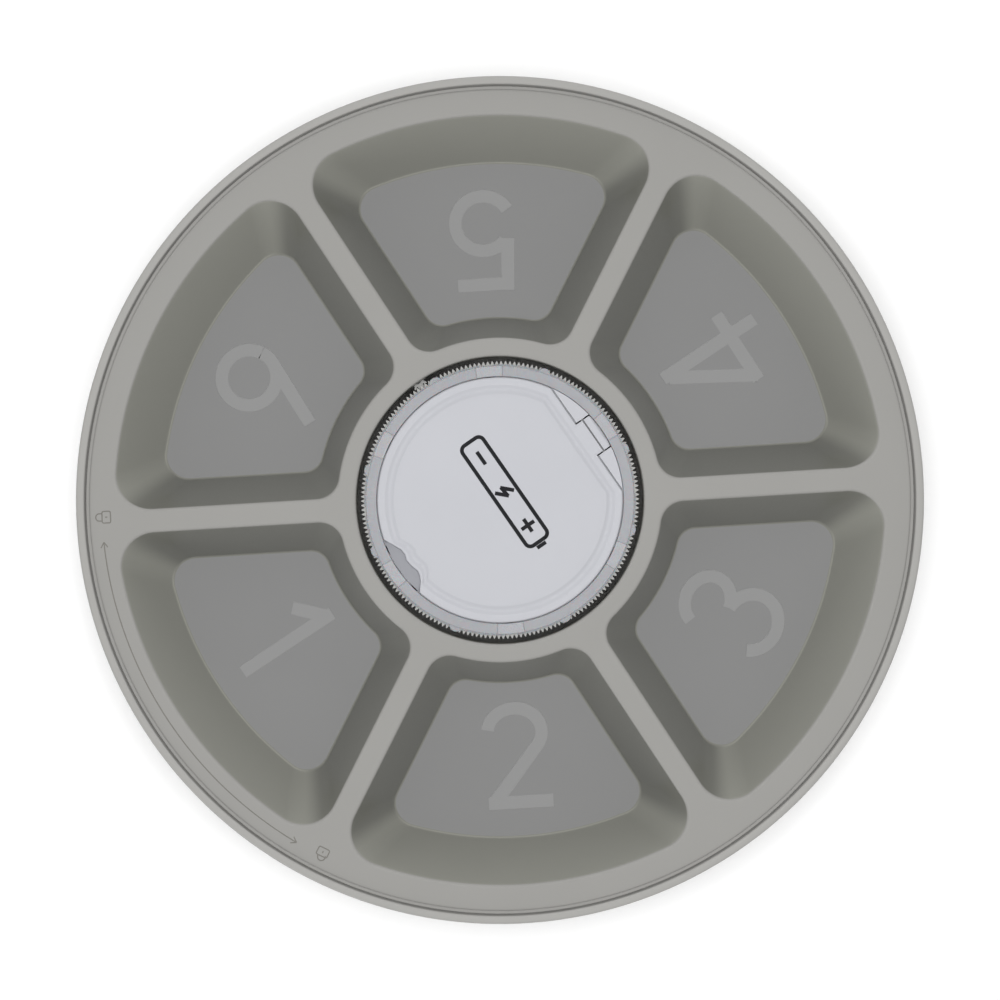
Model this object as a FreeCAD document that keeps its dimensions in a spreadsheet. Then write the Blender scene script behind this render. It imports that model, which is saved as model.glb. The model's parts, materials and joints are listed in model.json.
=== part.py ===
"""Six-meal automatic pet feeder, without its lid: a parametric FreeCAD document.

Axes: the feeder stands on Z = 0 and turns about the Z axis. Its control panel faces -Y.
Every driving size is a cell of the sheet "sizes", in millimetres and degrees.
"""
import FreeCAD, Part
import math
import os

import Sketcher
from FreeCAD import Placement, Rotation, Vector

Z_AXIS = Vector(0, 0, 1)

SIZES = {
    # casing
    "rim_radius": 160.0, "rim_top": 66.0, "rim_width": 3.2, "wall": 3.0, "edge_height": 7.0,
    "casing_bottom": 2.8, "well_floor_top": 17.0, "well_floor": 2.0, "ledge_width": 4.3,
    "ledge_thick": 2.5, "cover_thick": 2.5, "cover_gap": 0.3,
    # tray
    "tray_sheet": 2.0, "tray_gap": 1.5, "tray_wall": 1.8, "slide_gap": 0.3,
    "hub_hole_radius": 54.5, "skirt_thick": 1.6, "bowl_count": 6.0, "bowl_depth": 40.0,
    "bowl_turn": -1.4, "bowl_hub_radius": 61.3, "web_width": 8.6, "bowl_hub_corner": 9.0,
    "bowl_rim_corner": 13.0, "bowl_draft": 11.1, "floor_hub_corner": 8.0,
    "floor_rim_corner": 9.5, "rib_width": 0.4, "rib_inner_radius": 52.25,
    # ring gear and its train
    "gear_module": 0.54, "ring_teeth": 194.0, "ring_bore_gap": 0.3, "pinion_teeth": 12.0,
    "train_module": 0.5, "output_teeth": 36.0, "idler_small_teeth": 12.0,
    "idler_large_teeth": 40.0, "motor_teeth": 10.0, "pressure_angle": 25.0, "backlash": 0.10,
    "train_angle": 180.0, "shaft_radius": 1.5, "shaft_gap": 0.06, "idler_pin_radius": 1.0,
    "tower_radius": 3.6, "bush_wall": 0.8, "bush_length": 4.0, "magnet_width": 4.0,
    "magnet_thick": 1.2, "magnet_height": 4.0,
    # hub
    "hub_radius": 49.6, "hub_wall": 2.5, "shoulder_radius": 51.6, "shoulder_thick": 2.0,
    "deck_thick": 1.6, "battery_floor": 1.6, "cell_radius": 7.15, "cell_length": 50.5,
    "cell_pitch": 14.9, "cell_clearance": 0.3, "spring_room": 5.5, "spring_wire": 0.35,
    "spring_radius": 3.2, "spring_turns": 3.0, "spring_gap": 0.1, "contact_thick": 0.4,
    "retainer_radius": 51.0, "retainer_bore": 46.9, "lip_radius": 51.55, "lip_thick": 0.8,
    "lug_radius": 2.7, "lug_reach": 52.9, "pad_length": 10.5, "lid_radius": 46.5, "chord": 40.0,
    "tongue_half": 7.0, "block_gap": 0.5, "hinge_offset": 43.0, "hinge_pin_radius": 0.8,
    "hinge_pin_half": 12.0, "tongue_end": 46.2, "notch_half": 11.5, "notch_depth": 5.3,
    "panel_groove_radius": 42.0, "panel_groove": 0.4,
    # motor, boards and small things
    "motor_radius": 12.0, "motor_height": 20.0, "board_thick": 1.6, "board_height": 24.0,
    "post_radius": 3.0, "screw_radius": 1.3, "screw_head": 2.5, "screw_head_height": 1.5,
    "hub_screw_circle": 41.0, "foot_radius": 8.0, "foot_height": 4.6, "panel_half": 34.0,
    "panel_low": 19.4, "panel_high": 46.6, "panel_rim": 2.0, "panel_plate": 2.0,
    "button_radius": 3.4, "button_pitch": 16.0, "button_height": 25.2, "button_gap": 0.3,
    "button_proud": 1.5, "lens_half": 24.0, "lens_low": 31.0, "lens_high": 43.0,
    "lens_thick": 1.2, "speaker_radius": 14.0, "speaker_x": 78.0, "speaker_y": -40.0,
    "socket_height": 10.0, "socket_barrel": 3.2, "ribbon_width": 12.0, "ribbon_thick": 0.8,
    "ribbon_end": 26.0,
}

# A tied size keeps its step from its leader, so a larger casing carries its parts along.
TIES = {
    "wall_radius_top": ("rim_radius", -2.0),
    "wall_radius_low": ("rim_radius", -3.5),
    "edge_radius": ("rim_radius", -7.0),
    "cover_radius": ("rim_radius", -9.2),
    "bowl_rim_radius": ("rim_radius", -14.4),
    "boss_circle": ("rim_radius", -20.0),
    "foot_circle": ("rim_radius", -32.0),
    "panel_face": ("rim_radius", -7.5),
    "rim_foot": ("rim_top", -8.5),
    "tray_top": ("rim_top", -2.0),
    "skirt_bottom": ("tray_top", -8.7),
    "rib_top": ("tray_top", -6.0),
    "ring_bottom": ("tray_top", -19.7),
    "ring_top": ("tray_top", -5.7),
    "pinion_bottom": ("tray_top", -19.0),
    "pinion_top": ("tray_top", -9.3),
    "hub_top": ("tray_top", -5.4),
    "battery_floor_top": ("tray_top", -21.0),
    "retainer_top": ("tray_top", -3.5),
    "lug_top": ("tray_top", -4.0),
    "pad_top": ("tray_top", -2.9),
    "lid_bottom": ("tray_top", -4.7),
    "lid_top": ("tray_top", -2.5),
    "block_top": ("tray_top", -2.8),
    "hinge_height": ("tray_top", -3.6),
}


class Size:
    """A number together with the sheet expression that gives it."""

    def __init__(self, value, text=None):
        self.value = float(value)
        self.text = text if text is not None else f"{value:g}"

    def _join(self, other, sign, value):
        return Size(value, f"({self.text} {sign} {as_size(other).text})")

    def __add__(self, other):
        return self._join(other, "+", self.value + as_size(other).value)

    def __sub__(self, other):
        return self._join(other, "-", self.value - as_size(other).value)

    def __mul__(self, other):
        return self._join(other, "*", self.value * as_size(other).value)

    def __truediv__(self, other):
        return self._join(other, "/", self.value / as_size(other).value)

    def __neg__(self):
        return Size(-self.value, f"(0 - {self.text})")

    def __radd__(self, other):
        return as_size(other) + self

    def __rsub__(self, other):
        return as_size(other) - self

    def __rmul__(self, other):
        return as_size(other) * self


def as_size(item):
    return item if isinstance(item, Size) else Size(item)


def turned_x(radius, angle):
    """X of a point at a radius and an angle in degrees."""
    radius, angle = as_size(radius), as_size(angle)
    value = radius.value * math.cos(math.radians(angle.value))
    return Size(value, f"({radius.text} * cos({angle.text} * 1 deg))")


def turned_y(radius, angle):
    """Y of a point at a radius and an angle in degrees."""
    radius, angle = as_size(radius), as_size(angle)
    value = radius.value * math.sin(math.radians(angle.value))
    return Size(value, f"({radius.text} * sin({angle.text} * 1 deg))")


doc = FreeCAD.newDocument("pet_feeder")
sheet = doc.addObject("Spreadsheet::Sheet", "sizes")
STEPS = {f"{alias}_step": step for alias, (leader, step) in TIES.items()}
for row, (alias, number) in enumerate({**SIZES, **STEPS}.items(), start=1):
    sheet.set(f"A{row}", alias)
    sheet.set(f"B{row}", f"{number:g}")
    sheet.setAlias(f"B{row}", alias)
doc.recompute()


def size(alias):
    """A size from the sheet; a tied size is its leader plus its own step."""
    if alias in TIES:
        return size(TIES[alias][0]) + size(f"{alias}_step")
    return Size(sheet.get(alias), f"sizes.{alias}")


# The flat cable runs from behind the control panel to the main board.
RIBBON_FRONT = 5.5 - size("panel_face").value
RIBBON_BACK = -size("ribbon_end").value


# ---------------------------------------------------------------- building blocks
def bind(item, prop, length):
    item.setExpression(prop, as_size(length).text)


def place(item, x=0, y=0, z=0):
    for axis, length in (("x", x), ("y", y), ("z", z)):
        bind(item, f"Placement.Base.{axis}", length)


def box(x_low, x_high, y_low, y_high, z_low, z_high, label="block"):
    item = doc.addObject("Part::Box", label)
    bind(item, "Length", as_size(x_high) - x_low)
    bind(item, "Width", as_size(y_high) - y_low)
    bind(item, "Height", as_size(z_high) - z_low)
    place(item, x_low, y_low, z_low)
    return item


def rod(radius, z_low, z_high, x=0, y=0, label="rod"):
    """An upright cylinder."""
    item = doc.addObject("Part::Cylinder", label)
    bind(item, "Radius", radius)
    bind(item, "Height", as_size(z_high) - z_low)
    place(item, x, y, z_low)
    return item


def rod_along(axis, radius, low, high, first, second, label="rod"):
    """A cylinder along X (first, second = y, z) or along Y (first, second = x, z)."""
    item = doc.addObject("Part::Cylinder", label)
    bind(item, "Radius", radius)
    bind(item, "Height", as_size(high) - low)
    if axis == "x":
        item.Placement = Placement(Vector(), Rotation(Vector(0, 1, 0), 90))
        place(item, low, first, second)
    else:
        item.Placement = Placement(Vector(), Rotation(Vector(1, 0, 0), -90))
        place(item, first, low, second)
    return item


def fuse(shapes, label):
    item = doc.addObject("Part::MultiFuse", label)
    item.Shapes = shapes
    item.Label = label
    return item


def cut(base, tools, label):
    item = doc.addObject("Part::Cut", label)
    item.Base = base
    item.Tool = tools[0] if len(tools) == 1 else fuse(tools, label + "_tools")
    item.Label = label
    return item


def common(first, second, label):
    item = doc.addObject("Part::Common", label)
    item.Base = first
    item.Tool = second
    item.Label = label
    return item


def group(items, label):
    """Identical loose pieces kept together as separate solids."""
    item = doc.addObject("Part::Compound", label)
    item.Links = items
    item.Label = label
    return item


def named(item, label):
    item.Label = label
    return item


def feature(shape, label):
    """A sub-part whose outline comes from a formula."""
    item = doc.addObject("Part::Feature", label)
    item.Shape = shape
    item.Label = label
    return item


def new_body(label):
    item = doc.addObject("PartDesign::Body", label)
    item.Label = label
    return item


def plane_sketch(owner, role, label):
    sketch = owner.newObject("Sketcher::SketchObject", label)
    plane = [p for p in owner.Origin.OriginFeatures if p.Role == role][0]
    sketch.AttachmentSupport = [(plane, "")]
    sketch.MapMode = "FlatFace"
    return sketch


def locked_outline(sketch, points):
    """A closed straight-sided outline: every corner sits at its own two sizes."""
    corners = [(as_size(a), as_size(b)) for a, b in points]
    for index, (a, b) in enumerate(corners):
        c, d = corners[(index + 1) % len(corners)]
        start = Vector(a.value, b.value, 0)
        end = Vector(c.value, d.value, 0)
        sketch.addGeometry(Part.LineSegment(start, end), False)
    for index, (a, b) in enumerate(corners):
        following = (index + 1) % len(corners)
        sketch.addConstraint(Sketcher.Constraint("Coincident", index, 2, following, 1))
    for index, (a, b) in enumerate(corners):
        for kind, length in (("DistanceX", a), ("DistanceY", b)):
            number = sketch.addConstraint(Sketcher.Constraint(kind, index, 1, length.value))
            sketch.setExpression(f"Constraints[{number}]", length.text)


def turned_body(label, outline):
    """A body of revolution about Z from an outline of (radius, height) corners."""
    owner = new_body(label)
    sketch = plane_sketch(owner, "XZ_Plane", label + "_outline")
    locked_outline(sketch, outline)
    turn = owner.newObject("PartDesign::Revolution", label + "_turn")
    turn.Profile = sketch
    turn.ReferenceAxis = (sketch, ["V_Axis"])
    turn.Angle = 360
    sketch.Visibility = False
    return owner


def screw(x, y, head_z, shank_z, label="screw"):
    """Pan-head screw standing upright: the head is above or below its shank."""
    head_z, shank_z = as_size(head_z), as_size(shank_z)
    above = shank_z.value < head_z.value
    height = size("screw_head_height")
    head_end = head_z + height if above else head_z - height
    low, high = (head_z, head_end) if above else (head_end, head_z)
    head = rod(size("screw_head"), low, high, x, y, label + "_head")
    low, high = (shank_z, head_z) if above else (head_z, shank_z)
    shank = rod(size("screw_radius"), low, high, x, y, label + "_shank")
    return fuse([head, shank], label)


def around(radius, count, first=0.0):
    """Centres spread evenly on a circle."""
    step = 360.0 / count
    return [(turned_x(radius, first + step * k), turned_y(radius, first + step * k))
            for k in range(count)]


# ---------------------------------------------------------------- gears
def flank_angle(radius, pitch_radius, half_angle, pressure):
    """Half the angle of a tooth at a radius, for an involute flank."""
    base = pitch_radius * math.cos(pressure)
    reach = math.acos(min(1.0, base / max(radius, base)))
    return half_angle + (math.tan(pressure) - pressure) - (math.tan(reach) - reach)


def gear_wire(teeth, module, backlash, pressure, turn=0.0, steps=4):
    """Outline of an external gear; a tooth centre lies at the angle turn."""
    pitch_radius = module * teeth / 2
    tip = pitch_radius + module
    root = pitch_radius - 1.25 * module
    half_angle = (math.pi * module / 2 - backlash) / (2 * pitch_radius)
    radii = [root + (tip - root) * k / steps for k in range(steps + 1)]
    points = []
    for tooth in range(int(teeth)):
        middle = turn + 2 * math.pi * tooth / teeth
        angles = [flank_angle(r, pitch_radius, half_angle, pressure) for r in radii]
        for r, a in zip(radii, angles):
            points.append(Vector(r * math.cos(middle - a), r * math.sin(middle - a), 0))
        for r, a in zip(reversed(radii), reversed(angles)):
            points.append(Vector(r * math.cos(middle + a), r * math.sin(middle + a), 0))
    return Part.makePolygon(points + points[:1])


def gear_solid(teeth, module, low, high, bore, turn=0.0, steps=4):
    """A spur gear with a round bore."""
    outline = gear_wire(teeth, module, size("backlash").value,
                        math.radians(size("pressure_angle").value), turn, steps)
    blank = Part.Face(outline).extrude(Vector(0, 0, high - low))
    hole = Part.makeCylinder(bore, high - low + 2, Vector(0, 0, -1), Z_AXIS)
    return blank.cut(hole).translated(Vector(0, 0, low))


pitch_radius = size("gear_module") * size("ring_teeth") / 2
pinion_circle = pitch_radius + size("gear_module") * size("pinion_teeth") / 2
idler_circle = pinion_circle - size("train_module") * (size("output_teeth")
                                                       + size("idler_small_teeth")) / 2
motor_circle = idler_circle - size("train_module") * (size("idler_large_teeth")
                                                      + size("motor_teeth")) / 2
train_angle = size("train_angle")
pinion_x, pinion_y = turned_x(pinion_circle, train_angle), turned_y(pinion_circle, train_angle)
idler_x, idler_y = turned_x(idler_circle, train_angle), turned_y(idler_circle, train_angle)
motor_x, motor_y = turned_x(motor_circle, train_angle), turned_y(motor_circle, train_angle)

TOOTH_LEVELS = {"idler_large": (7.0, 9.6), "idler_small": (9.6, 13.2),
                "output": (10.2, 13.0), "motor_pinion": (6.8, 9.8)}


# ---------------------------------------------------------------- casing
def base_shell():
    floor_low = size("well_floor_top") - size("well_floor")
    step = size("casing_bottom") + size("cover_thick")
    ledge_top = size("tray_top") - size("tray_sheet") - size("slide_gap")
    rim_inner = size("rim_radius") - size("rim_width")
    ledge_inner = rim_inner - size("ledge_width")
    wall_inner = size("wall_radius_top") - size("wall")
    shell = turned_body("shell_turning", [
        (0, floor_low),
        (size("wall_radius_low") - size("wall") * 2.5, floor_low),
        (size("wall_radius_low") - size("wall") * 2.5, step),
        (size("cover_radius") + size("cover_gap"), step),
        (size("cover_radius") + size("cover_gap"), size("casing_bottom")),
        (size("edge_radius"), size("casing_bottom")),
        (size("wall_radius_low"), size("edge_height")),
        (size("wall_radius_top"), size("rim_foot") - 2.5),
        (size("rim_radius"), size("rim_foot")),
        (size("rim_radius"), size("rim_top") - 0.8),
        (size("rim_radius") - 0.8, size("rim_top")),
        (rim_inner + 0.6, size("rim_top")),
        (rim_inner, size("rim_top") - 0.6),
        (rim_inner, ledge_top),
        (ledge_inner, ledge_top),
        (ledge_inner, ledge_top - size("ledge_thick")),
        (wall_inner, ledge_top - size("ledge_thick") * 1.5),
        (size("wall_radius_low") - size("wall"), size("well_floor_top") + 2),
        (size("wall_radius_low") - size("wall") - 2, size("well_floor_top")),
        (0, size("well_floor_top")),
    ])
    added = [shell]
    for x, y in around(size("boss_circle"), 6):
        added.append(rod(size("post_radius") + 0.5, step, floor_low + 0.5, x, y, "cover_boss"))
    for x in (-8, 32):
        for y in (-20, 20):
            added.append(rod(size("post_radius"), size("well_floor_top") - 0.5,
                             size("board_height"), x, y, "board_post"))
    tower_top = size("ring_bottom") - 0.3
    added.append(rod(size("tower_radius"), floor_low - 1.4, tower_top,
                     pinion_x, pinion_y, "shaft_tower"))
    whole = fuse(added, "shell_with_bosses")

    holes = []
    for x, y in around(size("boss_circle"), 6):
        holes.append(rod(size("screw_radius"), step - 1, floor_low - 1, x, y, "boss_bore"))
    for x in (-8, 32):
        for y in (-20, 20):
            holes.append(rod(size("screw_radius"), floor_low + 0.8,
                             size("board_height") + 1, x, y, "post_bore"))
    for x, y in around(size("hub_screw_circle"), 4, 45.0):
        holes.append(rod(size("screw_radius"), floor_low - 1, size("well_floor_top") + 1,
                         x, y, "hub_screw_hole"))
    holes.append(rod(size("shaft_radius") + size("bush_wall"), 0, tower_top + 1,
                     pinion_x, pinion_y, "shaft_bore"))
    holes.append(rod(4, floor_low - 1, size("well_floor_top") + 1, motor_x, motor_y, "motor_hole"))
    for side in (-8.5, 8.5):
        holes.append(rod(size("screw_radius"), floor_low - 1, size("well_floor_top") + 1,
                         motor_x, motor_y + side, "motor_screw_hole"))
    holes.append(rod(size("idler_pin_radius"), floor_low - 1, size("well_floor_top") - 0.6,
                     idler_x, idler_y, "idler_pin_hole"))
    # window of the control panel, ribbon slots and power inlet
    margin = size("button_gap")
    holes.append(box(-(size("panel_half") + margin), size("panel_half") + margin,
                     -(size("rim_radius") + 5), -(size("panel_face") - 14),
                     size("panel_low") - margin, size("panel_high") + margin, "panel_window"))
    half_ribbon = size("ribbon_width") / 2 + 1
    for y in (RIBBON_FRONT, RIBBON_BACK):
        holes.append(box(-half_ribbon, half_ribbon, y - 1.4, y + 1.4,
                         floor_low - 1, size("well_floor_top") + 1, "ribbon_slot"))
    holes.append(rod_along("y", size("socket_barrel") + 0.3, 140, 165,
                           0, size("socket_height"), "inlet_hole"))
    return cut(whole, holes, "base_shell")


def bottom_cover():
    low, thick = size("casing_bottom"), size("cover_thick")
    plate = rod(size("cover_radius"), low, low + thick, label="cover_plate")
    socket = rod(size("idler_pin_radius") + 1.6, low + thick - 0.5, low + thick + 1.2,
                 idler_x, idler_y, "pin_socket")
    whole = fuse([plate, socket], "cover_with_socket")
    holes = [rod(size("idler_pin_radius"), low + 1.2, 12, idler_x, idler_y, "pin_hole")]
    for x, y in around(size("boss_circle"), 6):
        holes.append(rod(size("screw_radius"), 0, 10, x, y, "screw_hole"))
        holes.append(rod(size("screw_head"), 0, low + size("screw_head_height"), x, y, "head_seat"))
    for x, y in around(size("foot_circle"), 4, 45.0):
        holes.append(rod(size("foot_radius"), 0, low + 1.2, x, y, "foot_seat"))
    for k in range(-3, 4):
        span = math.sqrt(12.0 ** 2 - (3.2 * k) ** 2)
        middle = size("speaker_x") + 3.2 * k
        holes.append(box(middle - 0.8, middle + 0.8, size("speaker_y") - span,
                         size("speaker_y") + span, 0, 10, "sound_slot"))
    return cut(whole, holes, "bottom_cover")


def rubber_feet():
    return group([rod(size("foot_radius"), 0, size("casing_bottom") + 1.2, x, y, "foot")
                  for x, y in around(size("foot_circle"), 4, 45.0)], "rubber_feet")


def cover_screws():
    head = size("casing_bottom") + size("screw_head_height")
    return group([screw(x, y, head, size("well_floor_top") - size("well_floor") - 1.5)
                  for x, y in around(size("boss_circle"), 6)], "cover_screws")


# ---------------------------------------------------------------- food tray
def bowl_outline(owner, label, height, hub_radius, rim_radius, half_web, hub_corner, rim_corner):
    """Rounded sector between two spokes: two arcs about Z, two sides, four corner arcs."""
    sketch = plane_sketch(owner, "XY_Plane", label)
    bind(sketch, "AttachmentOffset.Base.z", height)
    half_angle = math.pi / size("bowl_count").value

    def corner(radius, corner_radius, outwards):
        """Corner centre in the spoke's own axes, with its two tangent points."""
        reach = radius + corner_radius * outwards
        across = half_web.value + corner_radius
        along = math.sqrt(reach ** 2 - across ** 2)
        return (along, across), (along, half_web.value), (along * radius / reach,
                                                          across * radius / reach)

    def spoke_to_sketch(point, side):
        """From the spoke's axes to the sketch, whose X axis halves the bowl."""
        along, across = point
        x = along * math.cos(half_angle) + across * math.sin(half_angle)
        y = along * math.sin(half_angle) - across * math.cos(half_angle)
        return Vector(x, y * side, 0)

    hub_parts = corner(hub_radius.value, hub_corner.value, 1)
    rim_parts = corner(rim_radius.value, rim_corner.value, -1)
    upper_hub = [spoke_to_sketch(p, 1) for p in hub_parts]
    upper_rim = [spoke_to_sketch(p, 1) for p in rim_parts]
    lower_hub = [spoke_to_sketch(p, -1) for p in hub_parts]
    lower_rim = [spoke_to_sketch(p, -1) for p in rim_parts]

    def arc(start, middle, end):
        return Part.Arc(start, middle, end)

    def bulge(centre, start, end, radius):
        direction = (start - centre) + (end - centre)
        direction.normalize()
        return centre + direction * radius

    hub_mid = Vector(hub_radius.value, 0, 0)
    rim_mid = Vector(rim_radius.value, 0, 0)
    edges = [
        Part.LineSegment(upper_hub[1], upper_rim[1]),
        arc(upper_rim[1], bulge(*upper_rim, rim_corner.value), upper_rim[2]),
        arc(upper_rim[2], rim_mid, lower_rim[2]),
        arc(lower_rim[2], bulge(*lower_rim, rim_corner.value), lower_rim[1]),
        Part.LineSegment(lower_rim[1], lower_hub[1]),
        arc(lower_hub[1], bulge(*lower_hub, hub_corner.value), lower_hub[2]),
        arc(lower_hub[2], hub_mid, upper_hub[2]),
        arc(upper_hub[2], bulge(*upper_hub, hub_corner.value), upper_hub[1]),
    ]
    sketch.addGeometry(edges, False)

    def near_end(number, point):
        ends = ((sketch.getPoint(number, 1) - point).Length,
                (sketch.getPoint(number, 2) - point).Length)
        return 1 if ends[0] < ends[1] else 2

    joints = [upper_rim[1], upper_rim[2], lower_rim[2], lower_rim[1],
              lower_hub[1], lower_hub[2], upper_hub[2], upper_hub[1]]
    for index, point in enumerate(joints):
        following = (index + 1) % len(edges)
        sketch.addConstraint(Sketcher.Constraint(
            "Tangent", index, near_end(index, point), following, near_end(following, point)))
    for number in (2, 6):
        sketch.addConstraint(Sketcher.Constraint("Coincident", number, 3, -1, 1))
    for number, radius in ((2, rim_radius), (6, hub_radius), (1, rim_corner), (3, rim_corner),
                           (5, hub_corner), (7, hub_corner)):
        given = sketch.addConstraint(Sketcher.Constraint("Radius", number, radius.value))
        sketch.setExpression(f"Constraints[{given}]", radius.text)
    for number in (0, 4):
        given = sketch.addConstraint(Sketcher.Constraint("Distance", -1, 1, number, half_web.value))
        sketch.setExpression(f"Constraints[{given}]", half_web.text)
    for first, second in (((-1, 1), (0, 1)), ((4, 2), (-1, 1))):
        given = sketch.addConstraint(Sketcher.Constraint("Angle", *first, *second, half_angle))
        sketch.setExpression(f"Constraints[{given}]", "180 deg / sizes.bowl_count")
    return sketch


def food_tray():
    top, sheet_low = size("tray_top"), size("tray_top") - size("tray_sheet")
    wall = size("tray_wall")
    flange_radius = size("rim_radius") - size("rim_width") - size("tray_gap")
    skirt_outer = size("hub_hole_radius") + size("skirt_thick")
    tray = turned_body("tray_moulding", [
        (size("hub_hole_radius"), size("skirt_bottom")),
        (skirt_outer, size("skirt_bottom")),
        (skirt_outer, sheet_low),
        (flange_radius - 0.5, sheet_low),
        (flange_radius, sheet_low + 0.5),
        (flange_radius, top - 0.6),
        (flange_radius - 0.6, top),
        (size("hub_hole_radius") + 0.8, top),
        (size("hub_hole_radius"), top - 0.8),
    ])
    floor_top = top - size("bowl_depth")
    draft = size("bowl_draft")
    half_web = size("web_width") / 2
    outside = (
        bowl_outline(tray, "bowl_outside_top", sheet_low + 1, size("bowl_hub_radius") - wall,
                     size("bowl_rim_radius") + wall, half_web - wall,
                     size("bowl_hub_corner") + wall, size("bowl_rim_corner") + wall),
        bowl_outline(tray, "bowl_outside_floor", floor_top - size("tray_sheet"),
                     size("bowl_hub_radius") + draft - wall, size("bowl_rim_radius") - draft + wall,
                     half_web + draft - wall,
                     size("floor_hub_corner") + wall, size("floor_rim_corner") + wall))
    inside = (
        bowl_outline(tray, "bowl_rim", top, size("bowl_hub_radius"), size("bowl_rim_radius"),
                     half_web, size("bowl_hub_corner"), size("bowl_rim_corner")),
        bowl_outline(tray, "bowl_floor", floor_top, size("bowl_hub_radius") + draft,
                     size("bowl_rim_radius") - draft, half_web + draft,
                     size("floor_hub_corner"), size("floor_rim_corner")))
    z_axis = [p for p in tray.Origin.OriginFeatures if p.Role == "Z_Axis"][0]
    for kind, pair, label in (("AdditiveLoft", outside, "bowl_shell"),
                              ("SubtractiveLoft", inside, "bowl_hollow")):
        loft = tray.newObject("PartDesign::" + kind, label)
        loft.Profile = pair[0]
        loft.Sections = [pair[1]]
        loft.Ruled = True
        pattern = tray.newObject("PartDesign::PolarPattern", label + "s")
        pattern.Originals = [loft]
        pattern.Axis = (z_axis, [""])
        pattern.Angle = 360
        bind(pattern, "Occurrences", size("bowl_count"))
        tray.Tip = pattern
    bind(tray, "Placement.Rotation.Angle", Size(30 + size("bowl_turn").value,
                                                "(180 / sizes.bowl_count + sizes.bowl_turn)"))
    tray.Placement.Rotation.Axis = Z_AXIS

    ribs = []
    space = 360.0 / size("ring_teeth").value
    for k in range(int(size("bowl_count").value)):
        nearest = round((60.0 * k) / space - 0.5) + 0.5
        angle = nearest * space
        rib = box(size("rib_inner_radius"), size("hub_hole_radius") + 0.4,
                  -(size("rib_width") / 2), size("rib_width") / 2,
                  size("skirt_bottom"), size("rib_top"), "rib")
        holder = doc.addObject("Part::Compound", "turned_rib")
        holder.Links = [rib]
        holder.Placement = Placement(Vector(), Rotation(Z_AXIS, angle))
        ribs.append(holder)
    return fuse([tray] + ribs, "food_tray")


# ---------------------------------------------------------------- drive
def drive_ring():
    low, high = size("ring_bottom").value, size("ring_top").value
    bore = size("hub_radius").value + size("ring_bore_gap").value
    solid = gear_solid(size("ring_teeth").value, size("gear_module").value, low, high, bore, steps=2)
    thick, width = size("magnet_thick").value, size("magnet_width").value
    for k in range(int(size("bowl_count").value)):
        pocket = Part.makeBox(thick + 0.8, width, size("magnet_height").value,
                              Vector(bore - 0.8, -width / 2, low + 1))
        pocket.rotate(Vector(), Z_AXIS, 30 + 60 * k)
        solid = solid.cut(pocket)
    return feature(solid, "drive_ring")


def index_magnets():
    bore = size("hub_radius") + size("ring_bore_gap")
    low = size("ring_bottom") + 1
    magnets = []
    for k in range(int(size("bowl_count").value)):
        magnet = box(bore + 0.1, bore + size("magnet_thick"), -(size("magnet_width") / 2),
                     size("magnet_width") / 2, low, low + size("magnet_height"), "magnet")
        holder = doc.addObject("Part::Compound", "turned_magnet")
        holder.Links = [magnet]
        holder.Placement = Placement(Vector(), Rotation(Z_AXIS, 30 + 60 * k))
        magnets.append(holder)
    return group(magnets, "index_magnets")


def mesh_turn(direction, teeth, fixed_teeth, fixed_turn):
    """Turn of a gear that meshes with a fixed one standing at an angle from it.

    direction is the angle from the fixed gear's centre to this one's centre.
    """
    phase = (direction - fixed_turn) * fixed_teeth / (2 * math.pi)
    return direction + math.pi + (phase - 0.5) * 2 * math.pi / teeth


def gear_train():
    """Pinion, its shaft and wheel, the idler and the motor pinion, meshed at rest."""
    module = size("train_module").value
    angle = math.radians(train_angle.value)
    inward = angle + math.pi
    shaft_bore = size("shaft_radius").value
    pinion_turn = mesh_turn(angle, size("pinion_teeth").value, size("ring_teeth").value, 0.0)
    pinion = gear_solid(size("pinion_teeth").value, size("gear_module").value,
                        size("pinion_bottom").value, size("pinion_top").value,
                        shaft_bore, pinion_turn)
    pinion.translate(Vector(pinion_x.value, pinion_y.value, 0))

    output = gear_solid(size("output_teeth").value, module, *TOOTH_LEVELS["output"], shaft_bore)
    output.translate(Vector(pinion_x.value, pinion_y.value, 0))

    pin_bore = size("idler_pin_radius").value + size("shaft_gap").value
    small_turn = mesh_turn(inward, size("idler_small_teeth").value,
                           size("output_teeth").value, 0.0)
    small = gear_solid(size("idler_small_teeth").value, module, *TOOTH_LEVELS["idler_small"],
                       pin_bore, small_turn)
    large = gear_solid(size("idler_large_teeth").value, module, *TOOTH_LEVELS["idler_large"],
                       pin_bore)
    idler = large.fuse(small).removeSplitter()
    idler.translate(Vector(idler_x.value, idler_y.value, 0))

    motor_turn = mesh_turn(inward, size("motor_teeth").value, size("idler_large_teeth").value, 0.0)
    motor_pinion = gear_solid(size("motor_teeth").value, module, *TOOTH_LEVELS["motor_pinion"],
                              1.0, motor_turn)
    motor_pinion.translate(Vector(motor_x.value, motor_y.value, 0))
    return [feature(pinion, "drive_pinion"), feature(output, "output_gear"),
            feature(idler, "idler_gear"), feature(motor_pinion, "motor_pinion")]


def drive_shaft():
    low = size("casing_bottom") + size("cover_thick") + 0.5
    return named(rod(size("shaft_radius"), low, size("pinion_top") + 0.2,
                     pinion_x, pinion_y, "shaft"), "drive_shaft")


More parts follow.
